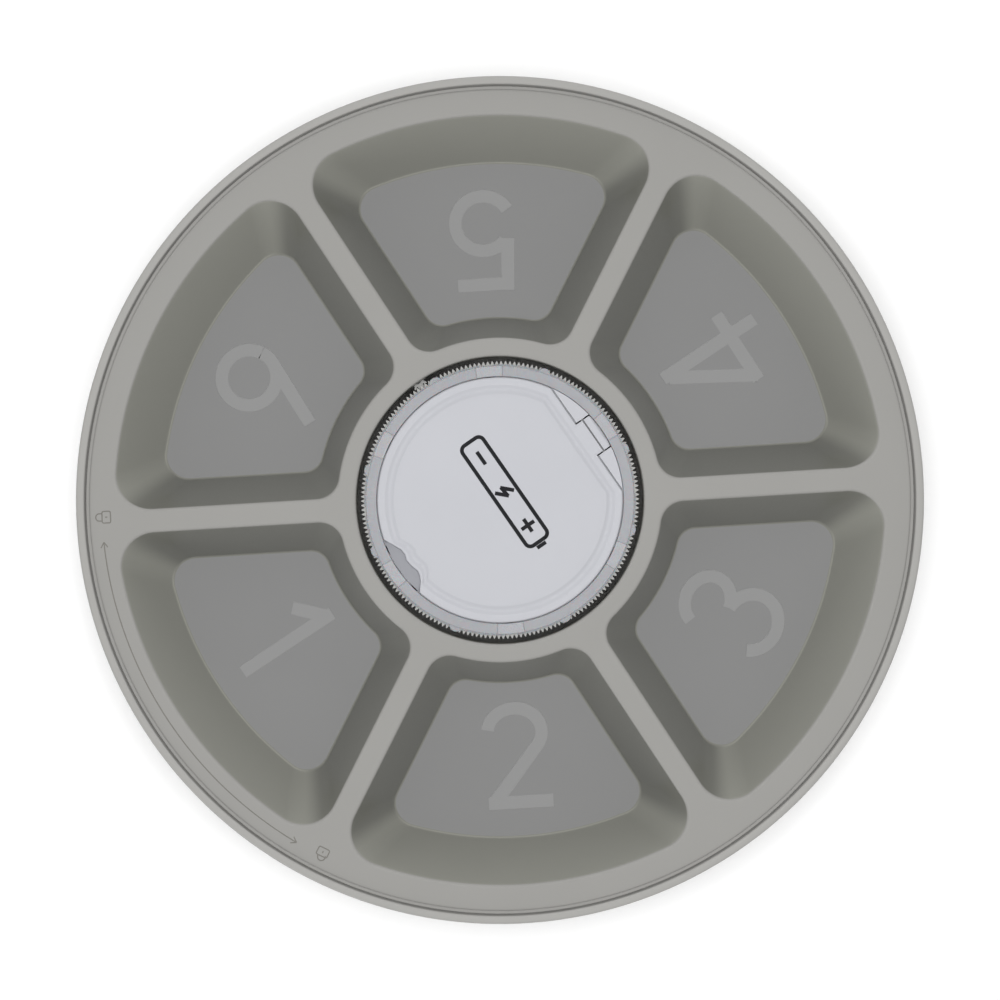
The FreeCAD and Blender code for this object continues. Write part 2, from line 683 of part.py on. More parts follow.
def shaft_bushes():
    outer = size("shaft_radius") + size("bush_wall")
    bore = size("shaft_radius") + size("shaft_gap")
    tower_top = size("ring_bottom") - 0.3
    bushes = []
    lower = size("well_floor_top") - size("well_floor") - 1.4
    for low in (lower, tower_top - size("bush_length")):
        sleeve = rod(outer, low, low + size("bush_length"), pinion_x, pinion_y, "sleeve")
        hole = rod(bore, low - 1, low + size("bush_length") + 1, pinion_x, pinion_y, "sleeve_bore")
        bushes.append(cut(sleeve, [hole], "bush"))
    return group(bushes, "shaft_bushes")


def idler_pin():
    return named(rod(size("idler_pin_radius"), size("casing_bottom") + 1.2,
                     size("well_floor_top") - 0.6, idler_x, idler_y, "pin"), "idler_pin")


def motor():
    floor = size("well_floor_top")
    can = rod(size("motor_radius"), floor, floor + size("motor_height"), motor_x, motor_y, "can")
    nose = rod(3.5, floor - 1.5, floor + 0.5, motor_x, motor_y, "nose")
    cap = rod(5, floor + size("motor_height") - 0.5, floor + size("motor_height") + 2,
              motor_x, motor_y, "end_bearing")
    holes = [rod(size("screw_radius"), floor - 1, floor + 4, motor_x, motor_y + side, "tapped_hole")
             for side in (-8.5, 8.5)]
    holes.append(rod(1.0 + size("shaft_gap"), floor - 3, floor + 8, motor_x, motor_y, "shaft_hole"))
    return cut(fuse([can, nose, cap], "motor_blank"), holes, "motor")


def motor_shaft():
    return named(rod(1.0, 6.6, size("well_floor_top") + 7.5, motor_x, motor_y, "stub"),
                 "motor_shaft")


def motor_screws():
    floor_low = size("well_floor_top") - size("well_floor")
    return group([screw(motor_x, motor_y + side, floor_low, size("well_floor_top") + 3.5)
                  for side in (-8.5, 8.5)], "motor_screws")


# ---------------------------------------------------------------- hub
def cell_box():
    """Half width and the two ends of the battery compartment."""
    half = size("cell_pitch") * 2 + size("cell_clearance")
    end = size("cell_length") / 2 + size("spring_room") / 2 + size("contact_thick")
    return half, end


def hub_housing():
    outer, inner = size("hub_radius"), size("hub_radius") - size("hub_wall")
    floor = size("well_floor_top")
    shoulder_top = size("ring_bottom") - size("slide_gap")
    shoulder_low = shoulder_top - size("shoulder_thick")
    deck_low = size("lid_bottom") - size("slide_gap") - size("deck_thick")
    deck_top = size("lid_bottom") - size("slide_gap")
    tub = turned_body("hub_turning", [
        (inner, floor), (outer, floor), (outer, shoulder_low), (size("shoulder_radius"), shoulder_low),
        (size("shoulder_radius"), shoulder_top), (outer, shoulder_top), (outer, size("hub_top")),
        (inner, size("hub_top")),
    ])
    half, end = cell_box()
    compartment_low = size("battery_floor_top") - size("battery_floor")
    parts = [tub, rod(inner + 0.2, deck_low, size("hub_top"), label="deck"),
             rod(size("retainer_bore") - 0.3, deck_low, deck_top, label="deck_top"),
             box(-(half + 1.6), half + 1.6, -(end + 1.6), end + 1.6, compartment_low, deck_low + 0.2,
                 "compartment")]
    for x, y in around(size("hub_screw_circle"), 4, 45.0):
        parts.append(rod(3.2, floor, floor + 16, x, y, "hub_boss"))
        parts.append(box(x - 1, x + 1, y - 1, y + 1, floor + 15, deck_low + 0.2, "hub_stay"))
    for angle in (45, 135, 225, 315):
        web = box(size("hub_screw_circle") - 1, inner + 0.5, -1, 1, floor, floor + 14, "boss_web")
        holder = doc.addObject("Part::Compound", "turned_web")
        holder.Links = [web]
        holder.Placement = Placement(Vector(), Rotation(Z_AXIS, angle))
        parts.append(holder)
    disc = rod(size("lid_radius") + 0.2, deck_top - 0.2, size("block_top"), label="block_disc")
    for side in (-1, 1):
        near = (size("tongue_half") + size("block_gap")) * side
        far = as_size(40 * side)
        low, high = (near, far) if side > 0 else (far, near)
        corner = box(low, high, size("chord") + size("block_gap"), size("hub_radius") + 10,
                     deck_top - 0.2, size("rim_top") + 4, "corner")
        parts.append(common(disc, corner, "hinge_block"))
    whole = fuse(parts, "hub_with_parts")
    holes = [box(-half, half, -end, end, size("battery_floor_top"), 70, "cell_room")]
    for x, y in around(size("hub_screw_circle"), 4, 45.0):
        holes.append(rod(size("screw_radius"), floor - 1, floor + 12, x, y, "hub_boss_bore"))
    holes.append(box(-(size("tongue_half") + size("block_gap")), size("tongue_half")
                     + size("block_gap"), size("chord"), size("retainer_bore") - 0.6,
                     deck_low - 2, 70, "tongue_room"))
    holes.append(rod_along("x", size("hinge_pin_radius"), -size("hinge_pin_half"),
                           size("hinge_pin_half"), size("hinge_offset"), size("hinge_height"),
                           "hinge_bore"))
    # finger recess under the lid's notch
    holes.append(box(-size("notch_half") + 1, size("notch_half") - 1, -(size("lid_radius") - 0.3),
                     -(size("lid_radius") - size("notch_depth") - 3), deck_low - 1, 70,
                     "finger_recess"))
    # slots for the retainer's six tabs
    for k in range(6):
        slot = box(inner - 0.3, inner + 1.1, -5.3, 5.3, size("hub_top") - 3.5, 70, "tab_slot")
        holder = doc.addObject("Part::Compound", "turned_slot")
        holder.Links = [slot]
        holder.Placement = Placement(Vector(), Rotation(Z_AXIS, 30 + 60 * k))
        holes.append(holder)
    return cut(whole, holes, "hub_housing")


def hub_screws():
    floor_low = size("well_floor_top") - size("well_floor")
    return group([screw(x, y, floor_low, size("well_floor_top") + 11)
                  for x, y in around(size("hub_screw_circle"), 4, 45.0)], "hub_screws")


LUG_ANGLES = (42.3, 77.7, 125.9, 174.1, 222.3, 257.7, 305.9, 354.1)
SLOT_ANGLES = (60, 150, 240, 330)


def gear_retainer():
    low = size("hub_top")
    ring = rod(size("retainer_radius"), low, size("retainer_top"), label="retainer_disc")
    lip = rod(size("lip_radius"), low, low + size("lip_thick"), label="retainer_lip")
    parts = [ring, lip]
    for angle in LUG_ANGLES:
        reach = size("lug_reach") - size("lug_radius")
        parts.append(rod(size("lug_radius"), low, size("lug_top"), turned_x(reach, angle),
                         turned_y(reach, angle), "lug"))
    pad_half = size("pad_length") / 2
    for k in range(6):
        pad = box(size("retainer_bore") - 0.5, size("retainer_radius") - 0.15, -pad_half, pad_half,
                  low, size("pad_top"), "pad")
        tab = box(size("hub_radius") - size("hub_wall") + 0.1, size("hub_radius") - size("hub_wall")
                  + 1.0, -pad_half + 0.3, pad_half - 0.3, low - 3, low + 0.5, "tab")
        holder = doc.addObject("Part::Compound", "turned_pad")
        holder.Links = [pad, tab]
        holder.Placement = Placement(Vector(), Rotation(Z_AXIS, 30 + 60 * k))
        parts.append(holder)
    whole = fuse(parts, "retainer_blank")
    holes = [rod(size("retainer_bore"), low, 70, label="retainer_hole")]
    for angle in SLOT_ANGLES:
        slot = box(size("retainer_radius") - 0.3, size("lip_radius") + 1, -2, 2, low - 1, 70, "slot")
        holder = doc.addObject("Part::Compound", "turned_notch")
        holder.Links = [slot]
        holder.Placement = Placement(Vector(), Rotation(Z_AXIS, angle))
        holes.append(holder)
    return cut(whole, holes, "gear_retainer")


def battery_lid():
    low, high = size("lid_bottom"), size("lid_top")
    disc = rod(size("lid_radius"), low, high, label="lid_disc")
    holes = [box(size("tongue_half"), 60, size("chord"), 60, 0, 80, "right_corner"),
             box(-60, -size("tongue_half"), size("chord"), 60, 0, 80, "left_corner"),
             box(-10, 10, size("tongue_end"), 60, 0, 80, "tongue_trim"),
             rod_along("x", size("hinge_pin_radius") + size("shaft_gap"), -10, 10,
                       size("hinge_offset"), size("hinge_height"), "knuckle_bore")]
    # wavy finger notch: one wide scoop and a smaller one beside it
    edge = -(size("lid_radius"))
    holes.append(rod(size("notch_depth") + 0.6, 0, 80, -4.2, edge + 0.2, "notch_scoop"))
    holes.append(rod(size("notch_depth") - 1.2, 0, 80, 5.6, edge + 0.2, "notch_side"))
    # shallow step round the raised panel
    ring_out = rod(size("panel_groove_radius"), high - size("panel_groove"), 80, label="groove_out")
    ring_in = rod(size("panel_groove_radius") - 1.2, 0, 90, label="groove_in")
    trim = box(-60, 60, size("chord") - 3.5, 60, 0, 90, "groove_trim")
    holes.append(cut(ring_out, [ring_in, trim], "panel_groove_ring"))
    return cut(disc, holes, "battery_lid")


def hinge_pin():
    return named(rod_along("x", size("hinge_pin_radius"), -size("hinge_pin_half"),
                           size("hinge_pin_half"), size("hinge_offset"), size("hinge_height"),
                           "pin_wire"), "lid_hinge_pin")


def cell_centres():
    return [size("cell_pitch") * k for k in (-1.5, -0.5, 0.5, 1.5)]


def battery_cells():
    height = size("battery_floor_top") + size("cell_radius") + size("cell_clearance")
    cells = []
    for index, x in enumerate(cell_centres()):
        flip = 1 if index % 2 == 0 else -1
        half = size("cell_length") / 2
        can = rod_along("y", size("cell_radius"), -half + (0 if flip > 0 else 1.4),
                        half - (1.4 if flip > 0 else 0), x, height, "cell_can")
        low, high = (half - 1.5, half) if flip > 0 else (-half, -half + 1.5)
        nub = rod_along("y", 2.7, low, high, x, height, "cell_nub")
        cells.append(fuse([can, nub], "cell"))
    return group(cells, "battery_cells")


def battery_contacts():
    """Spring and flat contacts: one plate at each end of each cell."""
    half, end = cell_box()
    low = size("battery_floor_top") + 0.8
    plates = []
    for x in cell_centres():
        for side in (-1, 1):
            face = end * side
            inner = (end - size("contact_thick")) * side
            y_low, y_high = (inner, face) if side > 0 else (face, inner)
            plates.append(box(x - 5, x + 5, y_low, y_high, low, low + 12, "plate"))
    return group(plates, "battery_contacts")


def battery_springs():
    """A coil pressing on the flat end of each cell, built up from half turns of wire.

    Each half turn is half a torus, tilted so that its two ends lie half a pitch apart.
    """
    half, end = cell_box()
    height = size("battery_floor_top") + size("cell_radius") + size("cell_clearance")
    wire, coil_radius = size("spring_wire").value, size("spring_radius").value
    half_turns = 2 * int(size("spring_turns").value)
    cell_end, gap = size("cell_length").value / 2, size("spring_gap").value
    room = end.value - size("contact_thick").value - cell_end
    rise = (room - 2 * wire - 2 * gap) / half_turns
    half_width = math.hypot(coil_radius, rise / 2)
    tilt = math.degrees(math.atan2(rise / 2, coil_radius))
    coils = []
    for index, x in enumerate(cell_centres()):
        side = -1 if index % 2 == 0 else 1
        loops = []
        for step in range(half_turns):
            loop = Part.makeTorus(half_width, wire, Vector(), Vector(0, 0, 1), 0, 360, 180)
            loop.rotate(Vector(), Vector(0, 1, 0), tilt)
            loop.rotate(Vector(), Vector(0, 0, 1), 180 * step)
            loop.translate(Vector(0, 0, rise * (step + 0.5)))
            loops.append(loop)
        coil = loops[0].multiFuse(loops[1:])
        coil.rotate(Vector(), Vector(1, 0, 0), -90 if side > 0 else 90)
        coil.translate(Vector(x.value, side * (cell_end + wire + gap), height.value))
        coils.append(coil)
    return feature(Part.makeCompound(coils), "battery_springs")


# ---------------------------------------------------------------- electronics
def main_board():
    low = size("board_height")
    plate = box(-12, 36, -24, 24, low, low + size("board_thick"), "board_plate")
    holes = [rod(size("screw_radius"), low - 1, low + 4, x, y, "board_hole")
             for x in (-8, 32) for y in (-20, 20)]
    return cut(plate, holes, "main_board")


def board_components():
    """Processor, radio-clock crystal, storage capacitor and plugs on the main board."""
    top = size("board_height") + size("board_thick")
    return group([box(6, 16, -6, 4, top, top + 1.4, "processor"),
                  box(20, 24, -4, 6, top, top + 3.5, "crystal"),
                  rod(4, top, top + 11, 26, -12, "capacitor"),
                  box(-10, -5, -12, 2, top, top + 6, "motor_plug"),
                  box(2, 14, 14, 20, top, top + 6, "battery_plug"),
                  rod(4.5, top, top + 6, 12, -16, "sounder")], "board_components")


def board_screws():
    return group([screw(x, y, size("board_height") + size("board_thick"),
                        size("well_floor_top")) for x in (-8, 32) for y in (-20, 20)],
                 "board_screws")


def position_sensor():
    """Small board with a magnet sensor, fixed behind the hub wall."""
    inner = size("hub_radius") - size("hub_wall")
    low = size("ring_bottom") + 0.5
    return fuse([box(inner - 3.2, inner - 2.0, -6, 6, low - 4, low + 6, "sensor_board"),
                 box(inner - 2.1, inner - 1.2, -2, 2, low, low + 4, "sensor_chip"),
                 box(inner - 2.1, inner - 0.5, -6, -4.5, low - 4, low + 6, "sensor_rail"),
                 box(inner - 2.1, inner - 0.5, 4.5, 6, low - 4, low + 6, "sensor_rail")],
                "position_sensor")


def speaker():
    low = size("casing_bottom") + size("cover_thick")
    x, y = size("speaker_x"), size("speaker_y")
    return fuse([rod(size("speaker_radius"), low, low + 3, x, y, "basket"),
                 rod(8, low + 2.5, low + 7, x, y, "speaker_magnet")], "speaker")


def power_socket():
    z = size("socket_height")
    inner = size("wall_radius_low") - size("wall") * 2.5
    body = box(-4.5, 4.5, inner - 12.5, inner - 0.4, z - 4.6, z + 4.6, "socket_body")
    barrel = rod_along("y", size("socket_barrel"), inner - 0.6, size("wall_radius_low") - 0.6,
                       0, z, "barrel")
    bore = rod_along("y", size("socket_barrel") - 0.7, inner - 9,
                      size("rim_radius") + 10, 0, z, "barrel_bore")
    pin = rod_along("y", 0.65, inner - 10, size("wall_radius_low") - 2, 0, z, "centre_pin")
    return fuse([cut(fuse([body, barrel], "socket_blank"), [bore], "socket_hollow"), pin],
                "power_socket")


# ---------------------------------------------------------------- control panel
def panel_frame():
    face, plate = size("panel_face"), size("panel_plate")
    half, low, high = size("panel_half"), size("panel_low"), size("panel_high")
    slab = box(-half, half, -(size("rim_radius")), -(face - plate), low, high, "panel_slab")
    skin = doc.addObject("Part::Cone", "casing_skin")
    bind(skin, "Radius1", size("wall_radius_low"))
    bind(skin, "Radius2", size("wall_radius_top"))
    bind(skin, "Height", size("rim_foot") - 2.5 - size("edge_height"))
    place(skin, 0, 0, size("edge_height"))
    blank = common(slab, skin, "panel_blank")
    rim = size("panel_rim")
    posts = []
    for x in (-29.5, 29.5):
        for z in (low + 3, high - 3):
            posts.append(rod_along("y", 1.7, -(face - plate) - 0.2, -(face - plate - 3.1), x, z,
                                   "panel_post"))
    holes = [box(-(half - rim), half - rim, -170, -face, low + rim, high - rim, "panel_recess"),
             box(-(size("lens_half") + 0.1), size("lens_half") + 0.1, -170, -140,
                 size("lens_low") - 0.1, size("lens_high") + 0.1, "lens_hole")]
    for x in button_places():
        holes.append(rod_along("y", size("button_radius") + size("button_gap"), -170, -140,
                               x, size("button_height"), "button_hole"))
    for x in (-29.5, 29.5):
        for z in (low + 3, high - 3):
            holes.append(rod_along("y", 0.8, -(face - plate) - 1, -140, x, z, "post_bore"))
    return cut(fuse([blank] + posts, "panel_with_posts"), holes, "panel_frame")


def button_places():
    return [size("button_pitch") * k for k in (-1.5, -0.5, 0.5, 1.5)]


def buttons():
    face, plate = size("panel_face"), size("panel_plate")
    made = []
    names = ("button_clock", "button_down", "button_up", "button_record")
    for x, label in zip(button_places(), names):
        cap = rod_along("y", size("button_radius"), -(face + size("button_proud")),
                        -(face - plate) + 1, x, size("button_height"), "cap")
        collar_low = -(face - plate) + size("button_gap")
        collar = rod_along("y", size("button_radius") + 1, collar_low, collar_low + 0.8, x,
                           size("button_height"), "collar")
        made.append(fuse([cap, collar], label))
    return made


def lcd_window():
    return named(box(-size("lens_half"), size("lens_half"), -size("panel_face"),
                     -(size("panel_face") - size("lens_thick")), size("lens_low"),
                     size("lens_high"), "lens"), "lcd_window")


def lcd_module():
    back = -(size("panel_face") - size("panel_plate"))
    return named(box(-26, 26, back + 0.3, back + 2.9, size("lens_low") - 1.2, size("lens_high") + 1.4,
                     "display"), "lcd_module")


def control_board():
    back = -(size("panel_face") - size("panel_plate"))
    plate = box(-31.2, 31.2, back + 3.1, back + 4.3, size("panel_low") + 1.2,
                size("panel_high") - 1.2, "control_plate")
    holes = [rod_along("y", 0.9, -160, -140, x, z, "control_hole") for x in (-29.5, 29.5)
             for z in (size("panel_low") + 3, size("panel_high") - 3)]
    return cut(plate, holes, "control_board")


def tact_switches():
    front = -(size("panel_face") - size("panel_plate") - 3.1)
    made = []
    for x in button_places():
        z = size("button_height")
        made.append(fuse([box(x - 3, x + 3, front - 0.9, front, z - 3, z + 3, "switch_case"),
                          rod_along("y", 1.6, front - 1.1, front - 0.8, x, z, "plunger")], "switch"))
    return group(made, "tact_switches")


def control_screws():
    back = -(size("panel_face") - size("panel_plate"))
    made = []
    for x in (-29.5, 29.5):
        for z in (size("panel_low") + 3, size("panel_high") - 3):
            made.append(fuse([rod_along("y", 1.5, back + 4.3, back + 4.9, x, z, "head"),
                              rod_along("y", 0.8, back + 0.4, back + 4.4, x, z, "shank")],
                             "control_screw"))
    return group(made, "control_screws")


def panel_back_cover():
    back = -(size("panel_face") - size("panel_plate"))
    half, low, high = size("panel_half") - 0.4, size("panel_low") - 0.2, size("panel_high") - 0.2
    shell = box(-half, half, back, back + 6.2, low, high, "back_shell")
    hollow = box(-(half - 1), half - 1, back - 1, back + 5.2, low + 1, high - 1, "back_hollow")
    slot = box(-(size("ribbon_width") / 2 + 0.6), size("ribbon_width") / 2 + 0.6,
               RIBBON_FRONT - 1.1, RIBBON_FRONT + 0.5, low - 1, low + 2, "ribbon_exit")
    return cut(shell, [hollow, slot], "panel_back_cover")


def panel_ribbon():
    """Flat cable from the control board, under the well floor, up to the main board."""
    run = 10.0
    bend = 2.5
    front_top = size("panel_low").value + 1.2
    back_top = size("board_height").value
    corner = bend * (1 - math.sqrt(0.5))
    first = Part.LineSegment(Vector(0, RIBBON_FRONT, front_top), Vector(0, RIBBON_FRONT, run + bend))
    turn = Part.Arc(Vector(0, RIBBON_FRONT, run + bend),
                    Vector(0, RIBBON_FRONT + corner, run + corner),
                    Vector(0, RIBBON_FRONT + bend, run))
    long_run = Part.LineSegment(Vector(0, RIBBON_FRONT + bend, run),
                                Vector(0, RIBBON_BACK - bend, run))
    rise = Part.Arc(Vector(0, RIBBON_BACK - bend, run),
                    Vector(0, RIBBON_BACK - corner, run + corner),
                    Vector(0, RIBBON_BACK, run + bend))
    last = Part.LineSegment(Vector(0, RIBBON_BACK, run + bend), Vector(0, RIBBON_BACK, back_top))
    path = Part.Wire([edge.toShape() for edge in (first, turn, long_run, rise, last)])
    half, thick = size("ribbon_width").value / 2, size("ribbon_thick").value / 2
    corners = [Vector(-half, RIBBON_FRONT - thick, front_top),
               Vector(half, RIBBON_FRONT - thick, front_top),
               Vector(half, RIBBON_FRONT + thick, front_top),
               Vector(-half, RIBBON_FRONT + thick, front_top)]
    section = Part.makePolygon(corners + corners[:1])
    return feature(path.makePipeShell([section], True, False), "panel_ribbon")


# ---------------------------------------------------------------- the whole feeder
parts = [base_shell(), bottom_cover(), rubber_feet(), cover_screws(), food_tray(), drive_ring(),
         index_magnets(), drive_shaft(), shaft_bushes(), idler_pin(), motor(), motor_shaft(),
         motor_screws(), hub_housing(), hub_screws(), gear_retainer(), battery_lid(), hinge_pin(),
         battery_cells(), battery_contacts(), battery_springs(), main_board(), board_components(),
         board_screws(), position_sensor(), speaker(), power_socket(), panel_frame(),
         lcd_window(), lcd_module(), control_board(), tact_switches(), control_screws(),
         panel_back_cover(), panel_ribbon()]
parts += gear_train() + buttons()
doc.recompute()

for item in doc.Objects:
    if "Invalid" in item.State or "Error" in item.State:
        raise RuntimeError(f"{item.Label} is in state {item.State}")
os.makedirs("parts", exist_ok=True)
for item in parts:
    if item.Shape.isNull() or not item.Shape.isValid():
        raise RuntimeError(f"{item.Label} has no valid shape")
    item.Shape.exportStep(f"parts/{item.Label}.step")
    bounds = item.Shape.BoundBox
    print(f"{item.Label:20s} solids {len(item.Shape.Solids):2d}  volume {item.Shape.Volume:10.1f}"
          f"  z {bounds.ZMin:7.2f} {bounds.ZMax:7.2f}")
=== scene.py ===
"""A six-meal automatic pet feeder without its lid, seen from above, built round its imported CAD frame.

Lengths are metres in the CAD frame: Z is up and the control panel faces -Y.
"""
import json
import math

import bmesh
import bpy
import numpy as np
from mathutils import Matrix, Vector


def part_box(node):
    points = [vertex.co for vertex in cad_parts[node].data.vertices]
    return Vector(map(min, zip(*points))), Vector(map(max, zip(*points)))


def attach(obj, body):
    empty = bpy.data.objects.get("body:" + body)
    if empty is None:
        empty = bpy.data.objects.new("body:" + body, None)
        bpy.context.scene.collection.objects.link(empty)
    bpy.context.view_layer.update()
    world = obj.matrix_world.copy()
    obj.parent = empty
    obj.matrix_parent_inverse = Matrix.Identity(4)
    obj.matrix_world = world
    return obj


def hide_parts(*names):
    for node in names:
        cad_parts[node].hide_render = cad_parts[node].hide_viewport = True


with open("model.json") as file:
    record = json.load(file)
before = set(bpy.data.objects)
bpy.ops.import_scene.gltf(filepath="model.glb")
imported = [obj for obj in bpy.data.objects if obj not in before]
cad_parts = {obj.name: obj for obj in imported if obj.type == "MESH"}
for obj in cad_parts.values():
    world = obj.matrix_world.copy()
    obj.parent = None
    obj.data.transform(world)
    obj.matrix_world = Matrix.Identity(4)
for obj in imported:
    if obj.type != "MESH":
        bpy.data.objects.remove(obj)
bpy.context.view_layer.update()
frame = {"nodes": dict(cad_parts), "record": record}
MM = 0.001


# ------------------------------------------------------------------ camera, light and floor
# A plain pale table top under soft, even studio light. The camera looks straight down
# from above the hub, turned so that bowl 1 lies to the lower left.
TRAY_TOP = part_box("food_tray")[1].z
CAMERA_HEIGHT = 727 * MM
VIEW_WIDTH = 377.8 * MM
VIEW_TURN = math.radians(-55.2)

camera_data = bpy.data.cameras.new("camera")
camera_data.sensor_width = 36
camera_data.lens = camera_data.sensor_width * CAMERA_HEIGHT / VIEW_WIDTH
camera_data.clip_end = 10
camera = bpy.data.objects.new("camera", camera_data)
camera.location = (0, 0, TRAY_TOP + CAMERA_HEIGHT)
camera.rotation_euler = (0, 0, -VIEW_TURN)
bpy.context.scene.collection.objects.link(camera)
bpy.context.scene.camera = camera

softbox_data = bpy.data.lights.new("overhead_softbox", "AREA")
softbox_data.size = 0.5
softbox_data.energy = 11.4
softbox = bpy.data.objects.new("overhead_softbox", softbox_data)
softbox.location = (0, 0, 1.15)
# Its mirror image in the lid would hide the groove and the print.
softbox.visible_glossy = False
bpy.context.scene.collection.objects.link(softbox)
for name, place, power in (("rear_fill", (-1.15, 0.8, 0.55), 3.0), ("front_fill", (0.5, -1.3, 0.5), 3.0)):
    fill_data = bpy.data.lights.new(name, "AREA")
    fill_data.size = 0.9
    fill_data.energy = power
    fill = bpy.data.objects.new(name, fill_data)
    fill.location = place
    aside = math.hypot(place[0], place[1])
    fill.rotation_euler = (math.atan2(aside, place[2]), 0, math.atan2(place[0], -place[1]))
    bpy.context.scene.collection.objects.link(fill)

world = bpy.data.worlds.new("studio")
world.use_nodes = True
world.node_tree.nodes["Background"].inputs["Color"].default_value = (1, 1, 1, 1)
world.node_tree.nodes["Background"].inputs["Strength"].default_value = 0.32
bpy.context.scene.world = world
bpy.context.scene.view_settings.view_transform = "Standard"


def linear(hex_text):
    """An sRGB hex colour as linear RGBA."""
    parts = [int(hex_text[k:k + 2], 16) / 255 for k in (1, 3, 5)]
    return tuple(c / 12.92 if c <= 0.04045 else ((c + 0.055) / 1.055) ** 2.4
                 for c in parts) + (1.0,)


def add_node(tree, kind, links=None, **settings):
    """Adds a node. Keys of links are input names; values are sockets or constants."""
    node = tree.nodes.new(kind)
    for key, value in settings.items():
        setattr(node, key, value)
    for key, value in (links or {}).items():
        if isinstance(value, bpy.types.NodeSocket):
            tree.links.new(value, node.inputs[key])
        else:
            node.inputs[key].default_value = value
    return node


def moulded(name, dark, light, roughness, grain_mm, depth_mm, ior=1.5, patch_mm=40,
            tone_from=None, **finish):
    """Moulded plastic: a fine texture from the tool, and a drift of tone from dark to light.

    The drift is a slow noise, or a mesh's own point values named by tone_from: painted light and shade.
    """
    material = bpy.data.materials.new(name)
    material.use_nodes = True
    tree = material.node_tree
    surface = tree.nodes["Principled BSDF"]
    place = add_node(tree, "ShaderNodeTexCoord").outputs["Object"]
    drift = add_node(tree, "ShaderNodeTexNoise", {"Vector": place, "Scale": 1 / (patch_mm * MM),
                                                  "Detail": 3.0, "Roughness": 0.55})
    share = drift.outputs["Fac"]
    if tone_from:
        values = add_node(tree, "ShaderNodeAttribute", attribute_name=tone_from)
        wander = add_node(tree, "ShaderNodeMath", {0: share, 1: 0.12}, operation="MULTIPLY")
        share = add_node(tree, "ShaderNodeMath", {0: values.outputs["Fac"],
                                                  1: wander.outputs[0]}, use_clamp=True).outputs[0]
    tone = add_node(tree, "ShaderNodeMix", {"Factor": share}, data_type="RGBA")
    tone.inputs[6].default_value = linear(dark)
    tone.inputs[7].default_value = linear(light)
    tree.links.new(tone.outputs[2], surface.inputs["Base Color"])
    grain = add_node(tree, "ShaderNodeTexNoise", {"Vector": place, "Scale": 1 / (grain_mm * MM),
                                                  "Detail": 2.0})
    bump = add_node(tree, "ShaderNodeBump", {"Height": grain.outputs["Fac"], "Strength": 0.6,
                                             "Distance": depth_mm * MM})
    tree.links.new(bump.outputs["Normal"], surface.inputs["Normal"])
    gloss = add_node(tree, "ShaderNodeMapRange", {"Value": grain.outputs["Fac"],
                                                  "To Min": roughness - 0.05,
                                                  "To Max": roughness + 0.05})
    tree.links.new(gloss.outputs["Result"], surface.inputs["Roughness"])
    surface.inputs["IOR"].default_value = ior
    for key, value in finish.items():
        surface.inputs[key.replace("_", " ")].default_value = value
    return material


def sheet_mesh(name, points, faces, material, sharp_degrees=32):
    """A mesh object at the origin; edges steeper than the limit stay sharp."""
    mesh = bpy.data.meshes.new(name)
    mesh.from_pydata(np.asarray(points, float).tolist(), [], faces)
    form = bmesh.new()
    form.from_mesh(mesh)
    bmesh.ops.remove_doubles(form, verts=form.verts, dist=1e-6)
    bmesh.ops.recalc_face_normals(form, faces=form.faces)
    for edge in form.edges:
        if len(edge.link_faces) == 2 and edge.calc_face_angle() > math.radians(sharp_degrees):
            edge.smooth = False
    for face in form.faces:
        face.smooth = True
    form.to_mesh(mesh)
    form.free()
    mesh.materials.append(material)
    piece = bpy.data.objects.new(name, mesh)
    bpy.context.scene.collection.objects.link(piece)
    return piece


def grid_faces(rows, columns, first=0, closed=True):
    """Quads of a grid stored row by row; closed joins the last column to the first."""
    row = np.arange(rows - 1)[:, None] * columns
    column = np.arange(columns if closed else columns - 1)[None, :]
    after = (column + 1) % columns
    quads = np.stack([row + column, row + after, row + columns + after, row + columns + column], -1)
    return (quads.reshape(-1, 4) + first).tolist()


def turned(radii, heights, angles):
    """Grid of a profile turned about Z: one row of points per profile corner."""
    radii, heights = np.broadcast_arrays(np.asarray(radii, float), np.asarray(heights, float))
    x = radii[:, None] * np.cos(angles)
    y = radii[:, None] * np.sin(angles)
    z = np.repeat(heights[:, None], len(angles), 1)
    return np.stack([x, y, z], -1).reshape(-1, 3)


TABLE_RADIUS, TABLE_STEPS = 4.0, 96
floor_angles = np.linspace(0, 2 * np.pi, TABLE_STEPS, endpoint=False)
floor_points = turned([0.0, TABLE_RADIUS], [0.0, 0.0], floor_angles)
table = sheet_mesh("table_top", floor_points, grid_faces(2, TABLE_STEPS),
                   moulded("White laminate table top", "#FBFBFB", "#FDFDFD", 0.6, 2.0, 0.01))


# ------------------------------------------------------------------ casing
# One injection-moulded ABS shell in warm grey: a wall, a rolled rim that the lid sits on,
# and a ledge that carries the tray. A fine texture in the tool hides fingermarks.
casing_abs = moulded("Grey ABS, fine moulded texture", "#9A9996", "#9F9E9B", 0.42, 0.5, 0.010)


def rounded(corners, steps=6):
    """A profile whose corners (radius, height, rounding) become quarter-like arcs.

    Each corner is cut back along both its sides and joined by a quadratic curve.
    """
    corners = [tuple(c) + (0.0,) * (3 - len(c)) for c in corners]
    profile = []
    for index, (r, z, rounding) in enumerate(corners):
        here = np.array([r, z])
        if rounding == 0 or index in (0, len(corners) - 1):
            profile.append(here)
            continue
        before = np.array(corners[index - 1][:2]) - here
        after = np.array(corners[index + 1][:2]) - here
        start = here + before / np.linalg.norm(before) * rounding
        end = here + after / np.linalg.norm(after) * rounding
        t = np.linspace(0, 1, steps + 1)[:, None]
        profile.extend((1 - t) ** 2 * start + 2 * t * (1 - t) * here + t ** 2 * end)
    return np.array(profile)


